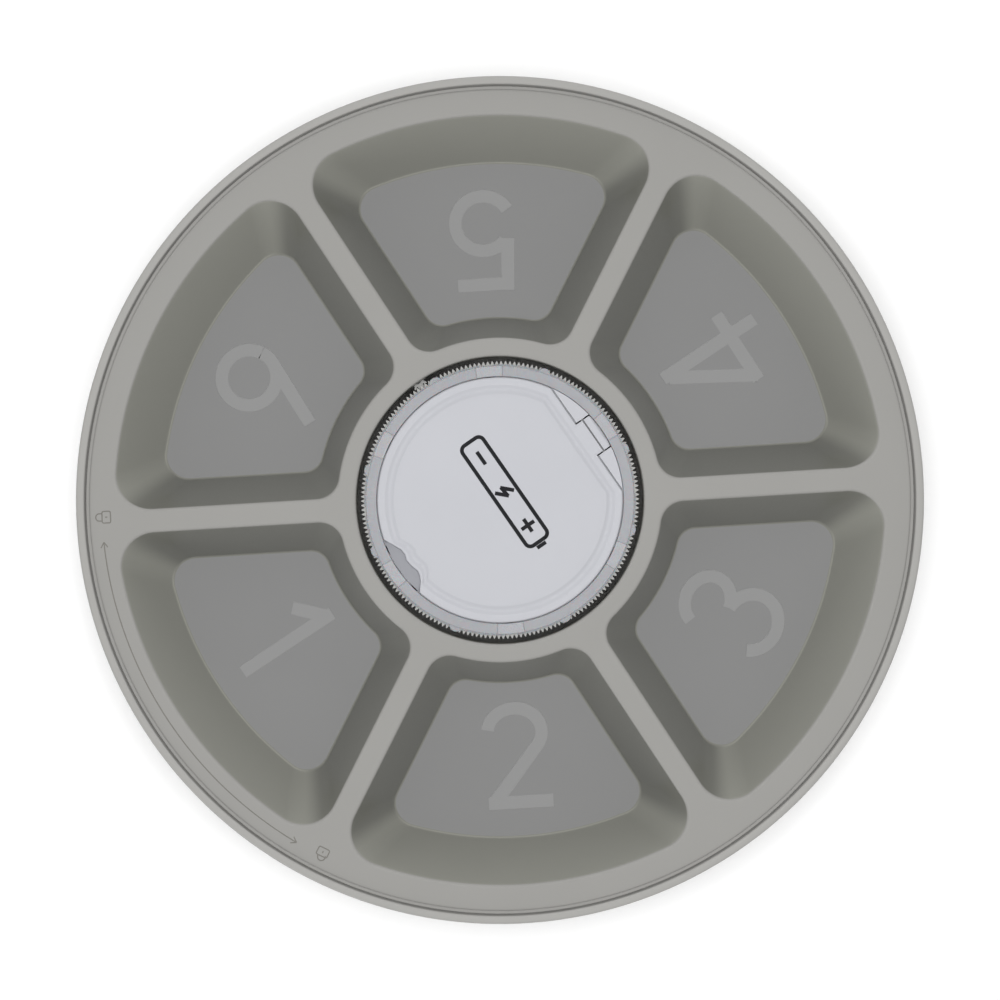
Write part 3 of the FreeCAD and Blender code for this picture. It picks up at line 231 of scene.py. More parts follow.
def supported(profile, margin):
    """Adds a point close beside each end of a long side, so that its shading stays flat."""
    kept = [profile[0]]
    for a, b in zip(profile[:-1], profile[1:]):
        length = np.linalg.norm(b - a)
        if length > margin * 4:
            kept += [a + (b - a) * margin / length, b - (b - a) * margin / length]
        kept.append(b)
    return np.array(kept)


def stepped(profile, longest):
    """Splits the upright parts of a profile into steps no taller than the longest allowed."""
    kept = [profile[:1]]
    for a, b in zip(profile[:-1], profile[1:]):
        count = max(1, math.ceil(abs(b[1] - a[1]) / longest))
        kept.append(a + (b - a) * np.linspace(0, 1, count + 1)[1:, None])
    return np.vstack(kept)


def turned_piece(name, corners, material, count=256, margin=0.4, sharp_degrees=32):
    """A closed ring or disc turned from rounded corners in millimetres."""
    profile = stepped(supported(rounded(corners), margin), 3.0)
    profile = np.vstack([profile, profile[:1]]) * MM
    angles = np.linspace(0, 2 * np.pi, count, endpoint=False)
    points = turned(profile[:, 0], profile[:, 1], angles)
    return sheet_mesh(name, points, grid_faces(len(profile), count), material, sharp_degrees)


CASING_OUTLINE = [
    (0.0, 15.0), (149.0, 15.0), (149.0, 5.3), (151.1, 5.3), (151.1, 2.8),
    (153.0, 2.8, 0.6), (156.5, 7.0, 3.0), (158.0, 55.0, 0.8), (160.0, 57.5, 0.8),
    (160.0, 66.0, 1.3), (156.8, 66.0, 0.9), (156.8, 61.7), (152.5, 61.7, 0.5),
    (152.5, 59.2, 0.5), (155.0, 57.9), (153.5, 19.0, 1.0), (151.5, 17.0, 1.0), (0.0, 17.0),
]
casing = turned_piece("casing", CASING_OUTLINE, casing_abs, 320)


def block(low, high):
    """A box between two corners, for cutting."""
    corners = [(x, y, z) for z in (low[2], high[2]) for y in (low[1], high[1])
               for x in (low[0], high[0])]
    sides = [(0, 2, 3, 1), (4, 5, 7, 6), (0, 1, 5, 4), (2, 6, 7, 3), (0, 4, 6, 2), (1, 3, 7, 5)]
    return sheet_mesh("cutter", corners, sides, casing_abs)


def rod_through(x, z, radius, y_low, y_high):
    """A round bar along Y, for cutting."""
    ring = turned([0, radius, radius, 0], [y_low, y_low, y_high, y_high],
                  np.linspace(0, math.tau, 64, endpoint=False))
    points = np.stack([ring[:, 0] + x, ring[:, 2], z - ring[:, 1]], -1)
    return sheet_mesh("cutter", points, grid_faces(4, 64), casing_abs)


def combine(piece, other, operation):
    """Cuts another closed mesh from a piece, or joins it on, and keeps plain mesh."""
    change = piece.modifiers.new("change", "BOOLEAN")
    change.operation, change.solver, change.object = operation, "EXACT", other
    bpy.context.view_layer.update()
    changed = bpy.data.meshes.new_from_object(
        piece.evaluated_get(bpy.context.evaluated_depsgraph_get()))
    piece.modifiers.clear()
    piece.data = changed
    bpy.data.objects.remove(other)
    return piece


# The openings for the panel frame at the front and the power socket at the rear. Both
# cutters start inside the wall and end beyond its outer face.
PANEL_GAP, PANEL_CUT_IN, CUT_OUT = 0.3 * MM, 138.5 * MM, 170 * MM
INLET_RADIUS, INLET_HEIGHT, INLET_CUT_IN = 3.6 * MM, 10 * MM, 145 * MM
frame_low, frame_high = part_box("panel_frame")
combine(casing, block((frame_low.x - PANEL_GAP, -CUT_OUT, frame_low.z - PANEL_GAP),
                      (frame_high.x + PANEL_GAP, -PANEL_CUT_IN, frame_high.z + PANEL_GAP)),
        "DIFFERENCE")
combine(casing, rod_through(0, INLET_HEIGHT, INLET_RADIUS, INLET_CUT_IN, CUT_OUT), "DIFFERENCE")
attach(casing, "base")
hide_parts("base_shell")


# ------------------------------------------------------------------ food tray
# A loose dishwasher-safe moulding in warm grey polypropylene: a flat flange with six drafted
# bowls round a hub hole, and a short skirt. The CAD tray's skirt also has ribs, out of sight.
tray_plastic = moulded("Warm grey polypropylene, satin moulded", "#8F8E8B", "#93928F", 0.36,
                       0.6, 0.006, ior=1.49)
floor_plastic = moulded("Grey polypropylene, fine matt floor", "#828282", "#858585", 0.5, 0.35,
                        0.006, ior=1.49)
# Wall colour runs dark to light with how far each wall faces the hub: painted light and shade.
wall_plastic_painted_light = moulded("Warm grey polypropylene, polished wall", "#7B7B75", "#9B9B93", 0.32, 0.8,
                       0.003, ior=1.49, tone_from="painted_light_towards_hub")
BOWLS = 6
HALF_ANGLE = math.pi / BOWLS
BOWL_TURN = math.radians(30 - 1.4)
HUB_SIDE, RIM_SIDE, HALF_WEB = 61.3, 145.6, 4.3
HUB_CORNER, RIM_CORNER = 9.0, 13.0
DRAFT, DEPTH, TOP, SHEET = 11.1, 40.0, 64.0, 2.0
FLOOR_HUB_CORNER, FLOOR_RIM_CORNER = 8.0, 9.5
HOLE, FLANGE_EDGE = 54.5, 155.3


def corner_centre(radius, corner_radius, outwards, half_web):
    """Centre of a bowl's corner arc: how far along and across a spoke, and its angle.

    It lies one corner radius from the big arc (outwards 1 or -1) and from the bowl's side.
    """
    reach = radius + outwards * corner_radius
    across = half_web + corner_radius
    along = math.sqrt(reach ** 2 - across ** 2)
    return along, across, math.atan2(across, along)


def both_halves(half):
    """A closed loop from one half: turned from its spoke to the bowl's X axis and mirrored."""
    turn = np.array([[math.cos(HALF_ANGLE), math.sin(HALF_ANGLE)],
                     [math.sin(HALF_ANGLE), -math.cos(HALF_ANGLE)]])
    upper = half @ turn.T
    lower = upper[-2:0:-1] * [1, -1]
    return np.vstack([upper, lower])


def bowl_loop(hub, rim, half_web, hub_corner, rim_corner):
    """Points round one bowl in the bowl's own axes, X halving it.

    Two arcs about the tray's axis and two sides parallel to the spokes are joined by corner
    arcs; each corner's centre lies where its distance to the arc and to the side agree.
    """
    hub_along, hub_across, hub_angle = corner_centre(hub, hub_corner, 1, half_web)
    rim_along, rim_across, rim_angle = corner_centre(rim, rim_corner, -1, half_web)
    side = np.linspace(hub_along, rim_along, 26)
    side = np.stack([side, np.full_like(side, half_web)], -1)
    sweep = np.linspace(-np.pi / 2, rim_angle, 17)[1:]
    outer = np.stack([rim_along + rim_corner * np.cos(sweep),
                      rim_across + rim_corner * np.sin(sweep)], -1)
    sweep = np.linspace(hub_angle + np.pi, 1.5 * np.pi, 13)[:-1]
    inner = np.stack([hub_along + hub_corner * np.cos(sweep),
                      hub_across + hub_corner * np.sin(sweep)], -1)
    rim_arc = np.linspace(rim_angle, HALF_ANGLE, 17)[1:]
    rim_arc = rim * np.stack([np.cos(rim_arc), np.sin(rim_arc)], -1)
    hub_arc = np.linspace(HALF_ANGLE, hub_angle, 11)[:-1]
    hub_arc = hub * np.stack([np.cos(hub_arc), np.sin(hub_arc)], -1)
    return both_halves(np.vstack([hub_arc, inner, side, outer, rim_arc]))


def flange_loop(loop_size, inner_radius, outer_radius):
    """The border of one sixth of the flange, matched point by point to a bowl loop."""
    hub_along, _, hub_angle = corner_centre(HUB_SIDE, HUB_CORNER, 1, HALF_WEB)
    rim_along, _, rim_angle = corner_centre(RIM_SIDE, RIM_CORNER, -1, HALF_WEB)

    def arc(radius, start, end, count):
        """Points along an arc about the tray's axis."""
        sweep = np.linspace(start, end, count)
        return radius * np.stack([np.cos(sweep), np.sin(sweep)], -1)

    def spoke(start, end, count):
        """Points along the spoke."""
        along = np.linspace(start, end, count)
        return np.stack([along, np.zeros_like(along)], -1)

    loop = both_halves(np.vstack([arc(inner_radius, HALF_ANGLE, hub_angle, 11)[:-1],
                                  arc(inner_radius, hub_angle, 0, 8)[:-1],
                                  spoke(inner_radius, hub_along, 6)[:-1],
                                  spoke(hub_along, rim_along, 26),
                                  spoke(rim_along, outer_radius, 9)[1:],
                                  arc(outer_radius, 0, rim_angle, 9)[1:],
                                  arc(outer_radius, rim_angle, HALF_ANGLE, 17)[1:]]))
    assert len(loop) == loop_size
    return loop


def bowl_level(share, swell=0.0):
    """A bowl loop between the rim (share 0) and the floor (share 1), grown by swell."""
    def between(rim_value, floor_value):
        """A value that drifts from the rim's to the floor's."""
        return rim_value + (floor_value - rim_value) * share
    return bowl_loop(between(HUB_SIDE, HUB_SIDE + DRAFT) - swell,
                     between(RIM_SIDE, RIM_SIDE - DRAFT) + swell,
                     between(HALF_WEB, HALF_WEB + DRAFT) - swell,
                     between(HUB_CORNER, FLOOR_HUB_CORNER) + swell,
                     between(RIM_CORNER, FLOOR_RIM_CORNER) + swell)


def bowl_rings(top, floor, swell, edge, fillet):
    """Rings of one bowl from the flange inwards: rounded rim, drafted wall, coved floor."""
    drop = top - floor
    slope = DRAFT / drop
    rings = [(0, swell + edge + 1.6, top), (0, swell + edge + 0.25, top)]
    for k in range(7):
        angle = math.pi / 2 * k / 6 * 0.83
        fall = edge * (1 - math.cos(angle))
        rings.append((fall * slope / DRAFT, swell + edge * (1 - math.sin(angle)), top - fall))
    last = rings[-1][2]
    for share in np.linspace(0.03, 0.97, 7):
        height = last + (floor + fillet - last) * share
        rings.append(((top - height) * slope / DRAFT, swell, height))
    for k in range(7):
        angle = math.pi / 2 * k / 6
        rise = fillet * (1 - math.sin(angle))
        reach = (top - floor - rise) * slope / DRAFT
        rings.append((reach, swell - fillet * 0.9 * (1 - math.cos(angle)), floor + rise))
    return rings


def bowl_surface(top, floor, swell, edge, fillet):
    """Points of one bowl from its rings, then closed over the flat floor towards its middle."""
    layers = []
    for share, grown, height in bowl_rings(top, floor, swell, edge, fillet):
        loop = bowl_level(share, grown)
        layers.append(np.column_stack([loop, np.full(len(loop), height)]))
    floor_edge = layers[-1]
    middle = np.array([(HUB_SIDE + RIM_SIDE) / 2 + 4, 0, floor])
    for shrink in (0.985, 0.8, 0.5, 0.2, 0.0):
        layers.append(middle + (floor_edge - middle) * [shrink, shrink, 1])
    return layers


def tray_sector(turn_angle):
    """One sixth of the tray as two stacks of loops: its upper and its lower surface."""
    cosine, sine = math.cos(turn_angle), math.sin(turn_angle)
    spin = np.array([[cosine, -sine, 0], [sine, cosine, 0], [0, 0, 1]])
    upper = bowl_surface(TOP, TOP - DEPTH, 0.0, 0.9, 0.9)
    lower = bowl_surface(TOP - SHEET, TOP - DEPTH - SHEET, 1.7, 0.0, 2.6)
    size = len(upper[0])
    for stack, height, inner, outer in ((upper, TOP, HOLE + 1.2, FLANGE_EDGE - 1.0),
                                        (lower, TOP - SHEET, HOLE + 1.6, FLANGE_EDGE - 1.0)):
        border = flange_loop(size, inner, outer)
        stack.insert(0, np.column_stack([border, np.full(size, height)]))
    return [np.vstack(stack) @ spin.T for stack in (upper, lower)], size


def tray_mesh():
    """The whole tray: six sectors above and below, an outer edge band and the hub skirt."""
    points, faces = [], []
    count = 0
    for k in range(BOWLS):
        stacks, size = tray_sector(BOWL_TURN + k * math.tau / BOWLS)
        for stack in stacks:
            points.append(stack)
            faces += grid_faces(len(stack) // size, size, count)
            count += len(stack)
    border = flange_loop(size, HOLE, FLANGE_EDGE)
    reach = np.hypot(border[:, 0], border[:, 1])
    for radius, profile in (
            (FLANGE_EDGE, [(-1.0, 0.0), (-0.35, -0.04), (-0.08, -0.28), (0, -0.7), (0, -1.6),
                           (-0.1, -1.9), (-0.4, -2.0), (-1.0, -2.0)]),
            (HOLE, [(1.2, 0.0), (0.6, -0.06), (0.25, -0.25), (0.06, -0.6), (0, -1.2), (0, -8.2),
                    (0.3, -8.7), (1.3, -8.7), (1.6, -8.2), (1.6, -2.0)])):
        angles = np.sort(np.arctan2(border[:, 1], border[:, 0])[np.abs(reach - radius) < 1e-6])
        steps = [angles[:-1] + BOWL_TURN + k * math.tau / BOWLS for k in range(BOWLS)]
        sweep = np.concatenate(steps)
        profile = np.array(profile) + [radius, TOP]
        ring = turned(profile[:, 0], profile[:, 1], sweep)
        points.append(ring)
        faces += grid_faces(len(profile), len(sweep), count)
        count += len(ring)
    return np.vstack(points) * MM, faces


def vectors(items, name):
    """One vector of every face or vertex, such as its normal, as rows."""
    flat = np.empty(len(items) * 3)
    items.foreach_get(name, flat)
    return flat.reshape(-1, 3)


# Upward share of a normal: above FLAT it is a floor, below UNDERNEATH an underside.
FLAT, UNDERNEATH = 0.97, -0.2
FLOOR_FINISH, WALL_LIGHT_SLOT = 1, 2
tray_points, tray_faces = tray_mesh()
tray = sheet_mesh("tray", tray_points, tray_faces, tray_plastic, 40)
tray.data.materials.append(floor_plastic)
tray.data.materials.append(wall_plastic_painted_light)
facing = vectors(tray.data.polygons, "normal")[:, 2]
level = vectors(tray.data.polygons, "center")[:, 2] / MM
finish_of = np.where((facing > FLAT) & (level < TOP - DEPTH + 0.5), FLOOR_FINISH, 0)
wall_faces = (facing > UNDERNEATH) & (facing <= FLAT) & (level < TOP - 0.6)
finish_of = np.where(wall_faces, WALL_LIGHT_SLOT, finish_of)
tray.data.polygons.foreach_set("material_index", finish_of.astype("i4"))

# Painted light and shade: walls that face the hub are coloured lighter, walls facing away darker.
spots = vectors(tray.data.vertices, "co")[:, :2]
normals = vectors(tray.data.vertices, "normal")[:, :2]
inwards = -(spots * normals).sum(1) / np.maximum(np.linalg.norm(spots, axis=1), 1e-9)
share = np.clip((inwards - 0.35) / 0.5, 0, 1)
hub_facing_light_share = tray.data.attributes.new("painted_light_towards_hub", "FLOAT", "POINT")
hub_facing_light_share.data.foreach_set("value", share * share * (3 - 2 * share))
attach(tray, "tray")
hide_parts("food_tray")


def loft(name, layers, material, sharp_degrees=32):
    """A closed skin through equal loops of points, layer after layer, in millimetres."""
    count = len(layers[0])
    return sheet_mesh(name, np.vstack(layers) * MM, grid_faces(len(layers), count), material,
                      sharp_degrees)


def ridge(paths, width, height, level, shoulder=0.28):
    """Low ridges along flat paths: a four-sided strip offset square to each path's run.

    The shoulder is the share of the width at which the sloping sides meet the flat top. Each
    path's top is 4 % of the height lower than the one before, so that tops never meet.
    """
    points, faces, count = [], [], 0
    for index, path in enumerate(paths):
        path = np.asarray(path, float)
        run = np.gradient(path, axis=0)
        run /= np.linalg.norm(run, axis=1)[:, None]
        side = np.stack([-run[:, 1], run[:, 0]], -1)
        crest = height * (1 - 0.04 * index)
        rows = [np.column_stack([path + side * width * share, np.full(len(path), level + rise)])
                for share, rise in ((-0.5, -0.02), (-shoulder, crest), (shoulder, crest),
                                    (0.5, -0.02))]
        strip = np.stack(rows, 1).reshape(-1, 3)
        points.append(strip)
        faces += grid_faces(len(path), 4, count)
        faces += [[count, count + 1, count + 2, count + 3],
                  [count + len(strip) - k for k in (1, 2, 3, 4)]]
        count += len(strip)
    return np.vstack(points), faces


# Bowl numbers, 43 mm tall, stand a fifth of a millimetre proud of the bowl floors, with
# their tops towards the hub. Plain strokes of one width, from the same tool and plastic.
NUMERAL_RADIUS, STROKE, NUMERAL_RISE = 102.0, 5.5, 0.2
numeral_plastic = moulded("Grey polypropylene, polished figure", "#8D8D8D", "#909090", 0.42, 0.6, 0.003)


def line(start, end):
    """A straight path."""
    return np.array([start, end], float)


def bend(centre, radii, start, end):
    """Part of an ellipse from one angle to another, in degrees."""
    sweep = np.radians(np.linspace(start, end, 40))
    return np.stack([centre[0] + radii[0] * np.cos(sweep), centre[1] + radii[1] * np.sin(sweep)], -1)


NUMERAL_STROKES = {
    "1": [line((0.9, -21.3), (0.9, 21.3)), line((-9.6, 9.2), (0.4, 19.0))],
    "2": [np.vstack([bend((0.3, 9.2), (10.8, 9.6), 172, -32), [[-8.6, -17.6]]]),
          line((-11.6, -18.7), (14.2, -18.7))],
    "3": [bend((0.9, 9.9), (10.3, 8.9), 162, -82), bend((1.2, -9.5), (11.4, 10.5), 84, -162)],
    "4": [line((4.5, -22.3), (4.5, 21.3)), line((-15.0, -11.2), (3.4, 18.9)),
          line((-16.6, -10.6), (14.1, -10.6))],
    "5": [bend((0.2, -8.4), (11.1, 10.9), 138, -152), line((-9.4, -2.0), (-8.2, 18.6)),
          line((-8.8, 16.0), (11.6, 16.0))],
    "6": [bend((1.2, -9.2), (11.1, 10.9), -180, 180), line((-8.4, -3.6), (6.6, 20.6))],
}


def numeral_strokes(number, angle):
    """Strokes of one number, turned so that its top faces the hub, on its bowl's floor."""
    upwards = -np.array([math.cos(angle), math.sin(angle)])
    along = np.array([upwards[1], -upwards[0]])
    paths = [np.outer(p[:, 0], along) + np.outer(p[:, 1] - NUMERAL_RADIUS, upwards)
             for p in NUMERAL_STROKES[number]]
    return [ridge([path], STROKE, NUMERAL_RISE, TOP - DEPTH, 0.44) for path in paths]


for step, number in enumerate("345612"):
    strokes = numeral_strokes(number, BOWL_TURN + step * math.tau / BOWLS)
    numeral, *others = [sheet_mesh(f"bowl_number_{number}", points * MM, faces, numeral_plastic, 20)
                        for points, faces in strokes]
    for other in others:
        combine(numeral, other, "UNION")
    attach(numeral, "tray")


# Lid marks on the flange: a shut and an open padlock joined by a two-headed arrow. They are
# hairline ridges, 0.12 mm high, cut into the same tool.
MARK_RADIUS, RIDGE_WIDTH, RIDGE_HEIGHT = 150.5, 0.46, 0.12
SHUT_ANGLE, OPEN_ANGLE = math.radians(237.7), math.radians(298.5)


def padlock(gap, shackle_turn):
    """Outline paths of a padlock, its body below the X axis and its shackle at +Y.

    The gap, in millimetres, lies between the body and the shackle's free end.
    """
    width, tall, round_corner = 4.4, 3.2, 0.6
    corners = [(width / 2 - round_corner, -round_corner), (round_corner - width / 2, -round_corner),
               (round_corner - width / 2, round_corner - tall),
               (width / 2 - round_corner, round_corner - tall)]
    body = []
    for k, (x, y) in enumerate(corners):
        sweep = np.linspace(k * math.pi / 2, (k + 1) * math.pi / 2, 6)
        body.append(np.stack([x + round_corner * np.cos(sweep),
                              y + round_corner * np.sin(sweep)], -1))
    body = np.vstack(body + [body[0][:1]])
    sweep = np.linspace(0, math.pi, 15)
    arch = np.stack([1.4 * np.cos(sweep), 1.0 + 1.4 * np.sin(sweep)], -1)
    arch = np.vstack([[[1.4, 0.0]], arch, [[-1.4, gap]]])
    cosine, sine = math.cos(shackle_turn), math.sin(shackle_turn)
    arch = (arch - [1.4, 0]) @ np.array([[cosine, sine], [-sine, cosine]]) + [1.4, 0]
    hole = np.array([[0.0, -1.2], [0.0, -2.0]])
    return [body, arch, hole]


def on_flange(paths, angle):
    """Moves small flat paths onto the flange at an angle, their +Y pointing outwards."""
    outwards = np.array([math.cos(angle), math.sin(angle)])
    along = np.array([outwards[1], -outwards[0]])
    return [np.outer(p[:, 0], along) + np.outer(p[:, 1] + MARK_RADIUS, outwards)
            for p in map(np.asarray, paths)]


def arrow_paths(start_degrees, end_degrees):
    """An arc at the mark radius with an open arrow head at each end."""
    start, end = math.radians(start_degrees), math.radians(end_degrees)
    sweep = np.linspace(start, end, 120)
    arc = MARK_RADIUS * np.stack([np.cos(sweep), np.sin(sweep)], -1)
    paths = [arc]
    for angle, way in ((start, 1), (end, -1)):
        back = angle + way * 2.0 / MARK_RADIUS
        tip = MARK_RADIUS * np.array([math.cos(angle), math.sin(angle)])
        barbs = [(MARK_RADIUS + d) * np.array([math.cos(back), math.sin(back)]) for d in (1.3, -1.3)]
        paths += [line(barbs[0], tip), line(tip, barbs[1])]
    return paths


mark_paths = (on_flange(padlock(0.0, 0.0), SHUT_ANGLE) + on_flange(padlock(0.7, 0.45), OPEN_ANGLE)
              + arrow_paths(241.3, 294.5))
mark_points, mark_faces = ridge(mark_paths, RIDGE_WIDTH, RIDGE_HEIGHT, TOP)
# The marks' darker grey is painted shade along the hairline ridges.
marks = sheet_mesh("lid_marks", mark_points * MM, mark_faces,
                   moulded("Warm grey polypropylene ridge, painted shade", "#716F6A", "#777570",
                           0.3, 0.5, 0.003), 50)
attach(marks, "tray")


# ------------------------------------------------------------------ gear retainer
# A ring in milky acetal that keeps the drive ring down. Eight round lugs reach over the
# teeth, six pads stand up for the dispenser lid, and the lip is slotted for the tray's skirt.
RING_IN, RING_OUT, LIP_OUT, LUG_REACH, LUG_SIZE = 46.9, 51.0, 51.55, 52.9, 2.7
RING_LOW, LIP_TOP, LUG_TOP, RING_TOP, PAD_TOP = 58.6, 59.4, 60.0, 60.5, 61.1
LUGS = np.radians([42.3, 77.7, 125.9, 174.1, 222.3, 257.7, 305.9, 354.1])
SLOTS = np.radians([60, 150, 240, 330])
PADS, PAD_SPAN, PAD_RADIUS = 6, 10.5, 49
milky = moulded("Milky acetal, frosted moulded", "#9C9DA1", "#A1A2A6", 0.34, 0.4, 0.006,
                Subsurface_Weight=0.25, Subsurface_Scale=0.004)
# A lighter tone for the pads: painted sheen on their glossy raised tops.
milky_pad_sheen = moulded("Milky acetal pad, polished, painted sheen", "#A2A3A7", "#A7A8AC", 0.28, 0.6, 0.003,
                    Subsurface_Weight=0.25, Subsurface_Scale=0.004)


def apart(angles, centre):
    """Signed smallest turn from a centre angle."""
    return (angles - centre + math.pi) % math.tau - math.pi


def retainer_mesh():
    """Turned ring whose outer radius and top follow the lugs, slots and pads round the circle."""
    around = np.linspace(0, math.tau, 2880, endpoint=False)
    lug = np.full_like(around, RING_OUT)
    for centre in LUGS:
        offset = LUG_REACH - LUG_SIZE
        away = apart(around, centre)
        inside = LUG_SIZE ** 2 - (offset * np.sin(away)) ** 2
        reach = offset * np.cos(away) + np.sqrt(np.maximum(inside, 0))
        lug = np.where((inside > 0) & (np.abs(away) < 0.3), np.maximum(lug, reach), lug)
    lip = np.full_like(around, LIP_OUT)
    for centre in SLOTS:
        lip = np.where(np.abs(apart(around, centre)) * LIP_OUT < 2, RING_OUT, lip)
    lip = np.maximum(lip, lug)
    top = np.full_like(around, RING_TOP)
    for k in range(PADS):
        centre = math.radians(30 + 60 * k)
        away = PAD_SPAN / 2 - np.abs(apart(around, centre)) * PAD_RADIUS
        share = np.clip(away / 0.5, 0, 1)
        top = np.maximum(top, RING_TOP + (PAD_TOP - RING_TOP) * share * share * (3 - 2 * share))
    ledge = np.where(lug > RING_OUT + 0.01, LUG_TOP, LIP_TOP)
    rows = [(RING_IN, RING_LOW), (RING_IN, top - 0.35), (RING_IN + 0.1, top - 0.1),
            (RING_IN + 0.35, top), (RING_IN + 0.6, top), (RING_OUT - 0.6, top),
            (RING_OUT - 0.35, top), (RING_OUT - 0.1, top - 0.1), (RING_OUT, top - 0.35),
            (RING_OUT, ledge), (np.maximum(RING_OUT, lug - 0.35), ledge),
            (np.maximum(RING_OUT, lug - 0.1), ledge - 0.08), (lug, np.maximum(ledge - 0.3, LIP_TOP)),
            (lug, LIP_TOP), (np.maximum(lip - 0.15, lug), LIP_TOP), (lip, LIP_TOP - 0.15),
            (lip, RING_LOW), (RING_IN, RING_LOW)]
    layers = []
    for radius, height in rows:
        radius, height = np.broadcast_to(radius, around.shape), np.broadcast_to(height, around.shape)
        layers.append(np.column_stack([radius * np.cos(around), radius * np.sin(around), height]))
    ring = loft("gear_retaining_ring", layers, milky, 45)
    # Faces on the raised pads take the lighter tone: painted sheen.
    ring.data.materials.append(milky_pad_sheen)
    raised = vectors(ring.data.polygons, "center")[:, 2] > (RING_TOP + 0.3) * MM
    ring.data.polygons.foreach_set("material_index", raised.astype("i4"))
    return ring


retainer = retainer_mesh()
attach(retainer, "base")
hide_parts("gear_retainer")


# ------------------------------------------------------------------ battery lid
# A white ABS disc with a straight rear edge and a hinge tongue. A shallow groove runs inside
# its border, and a finger scoop is sunk into the front edge.
LID_RADIUS, LID_LOW, LID_TOP, CHORD = 46.5, 59.3, 61.46, 40.0
TONGUE_HALF, TONGUE_END, CROWN_RUN, CROWN_FALL = 7.0, 46.2, 6, 0.5
GROOVE_RADIUS, GROOVE_INSET, GROOVE_DEPTH, GROOVE_HALF = 42.0, 4.0, 0.65, 1.5
SCOOP_TURN = np.radians([-15.8, -12, -8.2, -5, -2, 2, 5.8, 8.5, 10.9, 13.4, 14.2])
SCOOP_DEPTH = [0, 2.5, 4.5, 4.9, 4.3, 4.7, 5.3, 4.6, 3.4, 0.8, 0]
SCOOP_FLOOR = 60.1
lid_plastic = moulded("Cool white ABS, polished", "#B0B1B6", "#B6B7BC", 0.22, 0.9, 0.002,
                          Coat_Weight=0.15, Coat_Roughness=0.12)
# A darker grey for the finger scoop: painted shade in the recess.
scoop_painted_shade = moulded("Cool white ABS, matt, painted scoop shade", "#8E8F94", "#97989D", 0.4, 0.5, 0.004)


def lid_mesh():
    """A disc as rings about its centre; each ring's radius follows the lid's outline.

    Behind the chord the radius is the chord distance over the sine of the angle, and the
    tongue takes over where its sides are reached. The scoop's depth is read from its outline.
    """
    breaks = [math.atan2(y, x) for x in (TONGUE_HALF, -TONGUE_HALF) for y in (CHORD, TONGUE_END)]
    around = np.sort(np.concatenate([np.linspace(0, math.tau, 1440, endpoint=False),
                                     np.linspace(min(breaks), min(breaks) + 0.026, 12),
                                     np.linspace(max(breaks) - 0.026, max(breaks), 12)]))
    sine, cosine = np.sin(around), np.cos(around)
    rear = sine > 0.5
    behind = np.where(rear, CHORD / np.maximum(sine, 0.5), np.inf)
    edge = np.minimum(LID_RADIUS, behind)
    side = TONGUE_HALF / np.maximum(np.abs(cosine), 1e-6)
    tongue = np.minimum(np.minimum(side, TONGUE_END / np.maximum(sine, 0.5)), LID_RADIUS)
    edge = np.where(rear & (tongue > edge), tongue, edge)
    depth = np.interp(apart(around, 1.5 * math.pi), SCOOP_TURN, SCOOP_DEPTH, left=0, right=0)
    top_edge = edge - depth
    groove = np.where(rear, (CHORD - GROOVE_INSET) / np.maximum(sine, 0.5), np.inf)
    groove = np.minimum(groove, GROOVE_RADIUS)
    groove = np.minimum(groove, top_edge - 2.8)
    in_scoop = depth > 0.05
    floor = np.where(in_scoop, SCOOP_FLOOR, LID_TOP - 0.55)
    lift = np.where(in_scoop, 0.6, 0.0)
    slope = np.clip((edge * sine - CHORD) / CROWN_RUN, 0, 1)
    crown = LID_TOP - CROWN_FALL * slope
    rows = [(0 * edge, LID_LOW), (edge - 0.4, LID_LOW), (edge, LID_LOW + 0.3),
            (edge, floor - 0.1), (edge - 0.12, floor - lift * 0.3), (top_edge + 0.5 * lift, floor - lift),
            (top_edge + 0.1 * lift, floor - 0.2 * lift), (top_edge, np.minimum(floor + 0.2, crown - 0.5)),
            (top_edge, crown - 0.45), (top_edge - 0.06, crown - 0.26), (top_edge - 0.2, crown - 0.1),
            (top_edge - 0.45, crown), (top_edge - 0.7, crown),
            (groove + GROOVE_HALF + 0.3, LID_TOP), (groove + GROOVE_HALF, LID_TOP - 0.04),
            (groove + GROOVE_HALF * 0.6, LID_TOP - 0.7 * GROOVE_DEPTH), (groove, LID_TOP - GROOVE_DEPTH),
            (groove - GROOVE_HALF * 0.6, LID_TOP - 0.7 * GROOVE_DEPTH),
            (groove - GROOVE_HALF, LID_TOP - 0.04), (groove - GROOVE_HALF - 0.3, LID_TOP),
            (groove * 0.9, LID_TOP), (groove * 0.5, LID_TOP), (0 * groove, LID_TOP)]
    layers = [np.column_stack([r * cosine, r * sine, np.broadcast_to(z, r.shape)]) for r, z in rows]
    return loft("battery_lid_moulding", layers, lid_plastic, 45)


lid = lid_mesh()
# The finger scoop's faces take the darker grey: painted shade in the recess.
lid.data.materials.append(scoop_painted_shade)
middles = vectors(lid.data.polygons, "center") / MM
turns = apart(np.arctan2(middles[:, 1], middles[:, 0]), 1.5 * math.pi)
inner_edge = LID_RADIUS - np.interp(turns, SCOOP_TURN, SCOOP_DEPTH, left=0, right=0)
scoop_shade_faces = (np.hypot(middles[:, 0], middles[:, 1]) > inner_edge - 0.1) & (middles[:, 2] < LID_TOP - 0.5)
scoop_shade_faces &= (turns > SCOOP_TURN[0]) & (turns < SCOOP_TURN[-1])
lid.data.polygons.foreach_set("material_index", scoop_shade_faces.astype("i4"))
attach(lid, "lid")
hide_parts("battery_lid")


